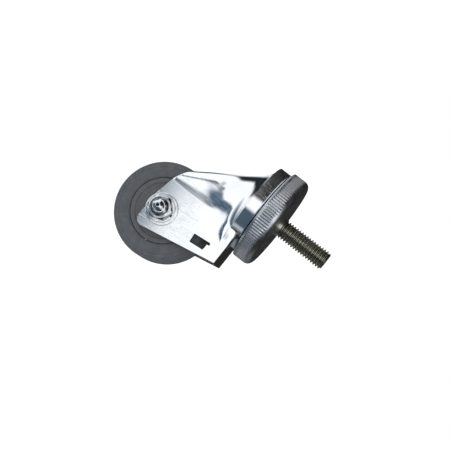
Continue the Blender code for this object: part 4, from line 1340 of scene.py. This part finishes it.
class Sky:
    """The studio's surroundings as seen along each direction: a pale shell with soft-edged patches."""

    def __init__(self, graph):
        self.graph = graph
        self.towards = graph.add("ShaderNodeTexCoord", out=0)
        self.colour = None

    def shell(self, low, high, level_low, level_high):
        """Two colours, mixed by height."""
        z = self.graph.parts(self.towards)[2]
        self.colour = self.graph.mixed(z.rising(level_low, level_high), opaque(low), opaque(high))

    def patch(self, azimuth, elevation, inner, outer, colour, stretch):
        """A patch of colour, full within its inner angle and gone past its outer one, in degrees.

        A stretch widens it along the horizon and upwards.
        """
        turn = radians(azimuth)
        lift = radians(elevation)
        ahead = Vector((cos(turn) * cos(lift), sin(turn) * cos(lift), sin(lift)))
        side = Vector((-sin(turn), cos(turn), 0))
        over = ahead.cross(side)
        dot = {"operation": "DOT_PRODUCT"}
        front, across, along = (
            self.graph.add("ShaderNodeVectorMath", dot, {0: self.towards, 1: axis}, out=1)
            for axis in (ahead, side, over)
        )
        off = ((across / stretch[0]) ** 2 + (along / stretch[1]) ** 2) ** 0.5
        angle = self.graph.add("ShaderNodeMath", {"operation": "ARCTAN2"}, {0: off, 1: front})
        share = 1 - angle.rising(radians(inner), radians(outer))
        self.colour = self.graph.mixed(share, self.colour, opaque(colour))


def make_world(scene):
    """Soft studio surroundings: pale all round, with broad darker zones for the plating to reflect."""
    world = bpy.data.worlds.new("studio")
    scene.world = world
    world.use_nodes = True
    world.node_tree.nodes.clear()
    graph = Graph(world.node_tree)
    sky = Sky(graph)
    sky.shell(SKY_BELOW, SKY_ABOVE, *SKY_LEVELS)
    for patch in SKY_PATCHES:
        sky.patch(*patch)
    rays = graph.add("ShaderNodeLightPath")
    seen, _, diffuse = (Value(graph, output) for output in rays.socket.node.outputs[:3])
    shown = graph.mixed((seen + diffuse).clamped(), sky.colour, (1, 1, 1, 1))
    light = graph.add("ShaderNodeBackground", None, {"Color": shown, "Strength": 1})
    graph.add("ShaderNodeOutputWorld", None, {"Surface": light})


# ---------------------------------------------------------------- operators


class CASTER_OT_stem(bpy.types.Operator):
    """Makes the threaded stem with its kingpin"""

    bl_idname = "caster.stem"
    bl_label = "Threaded stem"

    def execute(self, context):
        make_stem(context)
        return {"FINISHED"}


class CASTER_OT_cap(bpy.types.Operator):
    """Makes the ribbed swivel cap"""

    bl_idname = "caster.cap"
    bl_label = "Swivel cap"

    def execute(self, context):
        make_cap(context)
        return {"FINISHED"}


class CASTER_OT_balls(bpy.types.Operator):
    """Makes both rows of balls and finishes their races"""

    bl_idname = "caster.balls"
    bl_label = "Ball rows"

    def execute(self, context):
        make_balls(context)
        painted(["upper_race", "lower_race"], "hardened")
        return {"FINISHED"}


class CASTER_OT_fork(bpy.types.Operator):
    """Makes the stamped fork"""

    bl_idname = "caster.fork"
    bl_label = "Fork"

    def execute(self, context):
        make_fork(context)
        return {"FINISHED"}


class CASTER_OT_bolt(bpy.types.Operator):
    """Makes the axle bolt and its nut"""

    bl_idname = "caster.bolt"
    bl_label = "Axle bolt and nut"

    def execute(self, context):
        make_bolt(context)
        make_nut(context)
        return {"FINISHED"}


class CASTER_OT_washers(bpy.types.Operator):
    """Makes the flat washers and the split lock washer"""

    bl_idname = "caster.washers"
    bl_label = "Washers"

    def execute(self, context):
        make_washers(context)
        painted(["thrust_washer_near", "thrust_washer_far"], "hardened")
        return {"FINISHED"}


class CASTER_OT_fitting(bpy.types.Operator):
    """Makes the grease fitting with its check ball"""

    bl_idname = "caster.fitting"
    bl_label = "Grease fitting"

    def execute(self, context):
        make_fitting(context)
        painted(["fitting_spring"], "dark")
        return {"FINISHED"}


class CASTER_OT_wheel(bpy.types.Operator):
    """Makes the tyre and the wheel's hard core"""

    bl_idname = "caster.wheel"
    bl_label = "Wheel"

    def execute(self, context):
        make_tyre(context)
        make_core(context)
        return {"FINISHED"}


class CASTER_OT_bearing(bpy.types.Operator):
    """Makes the rollers and finishes the bearing's other pieces"""

    bl_idname = "caster.bearing"
    bl_label = "Roller bearing"

    def execute(self, context):
        make_rollers(context)
        painted(["bearing_sleeve", "axle_bushing"], "hardened")
        painted(["roller_cage"], "brass")
        return {"FINISHED"}


class CASTER_OT_stage(bpy.types.Operator):
    """Makes the floor, the light and the camera"""

    bl_idname = "caster.stage"
    bl_label = "Stage"

    def execute(self, context):
        make_stage(context)
        return {"FINISHED"}


OPERATORS = (
    CASTER_OT_stage,
    CASTER_OT_stem,
    CASTER_OT_cap,
    CASTER_OT_balls,
    CASTER_OT_fork,
    CASTER_OT_bolt,
    CASTER_OT_washers,
    CASTER_OT_fitting,
    CASTER_OT_wheel,
    CASTER_OT_bearing,
)

SETTINGS = {
    "caster_stem": StemSettings,
    "caster_cap": CapSettings,
    "caster_fork": ForkSettings,
    "caster_axle": AxleSettings,
    "caster_wheel": WheelSettings,
    "caster_finish": FinishSettings,
    "caster_stage": StageSettings,
}


class CASTER_PT_panel(bpy.types.Panel):
    """Lists the caster's pieces and sizes"""

    bl_idname = "CASTER_PT_panel"
    bl_label = "Swivel caster"
    bl_space_type = "VIEW_3D"
    bl_region_type = "UI"
    bl_category = "Caster"

    def draw(self, context):
        for operator in OPERATORS:
            self.layout.operator(operator.bl_idname)
        for name, group in SETTINGS.items():
            box = self.layout.box()
            for size in group.__annotations__:
                box.prop(getattr(context.scene, name), size)


def register():
    for group in SETTINGS.values():
        bpy.utils.register_class(group)
    for name, group in SETTINGS.items():
        setattr(bpy.types.Scene, name, bpy.props.PointerProperty(type=group))
    for operator in OPERATORS:
        bpy.utils.register_class(operator)
    bpy.utils.register_class(CASTER_PT_panel)


def unregister():
    bpy.utils.unregister_class(CASTER_PT_panel)
    for operator in reversed(OPERATORS):
        bpy.utils.unregister_class(operator)
    for name in SETTINGS:
        delattr(bpy.types.Scene, name)
    for group in SETTINGS.values():
        bpy.utils.unregister_class(group)


def main():
    register()
    for operator in OPERATORS:
        group, name = operator.bl_idname.split(".")
        getattr(getattr(bpy.ops, group), name)()
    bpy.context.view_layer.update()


if __name__ == "__main__":
    main()
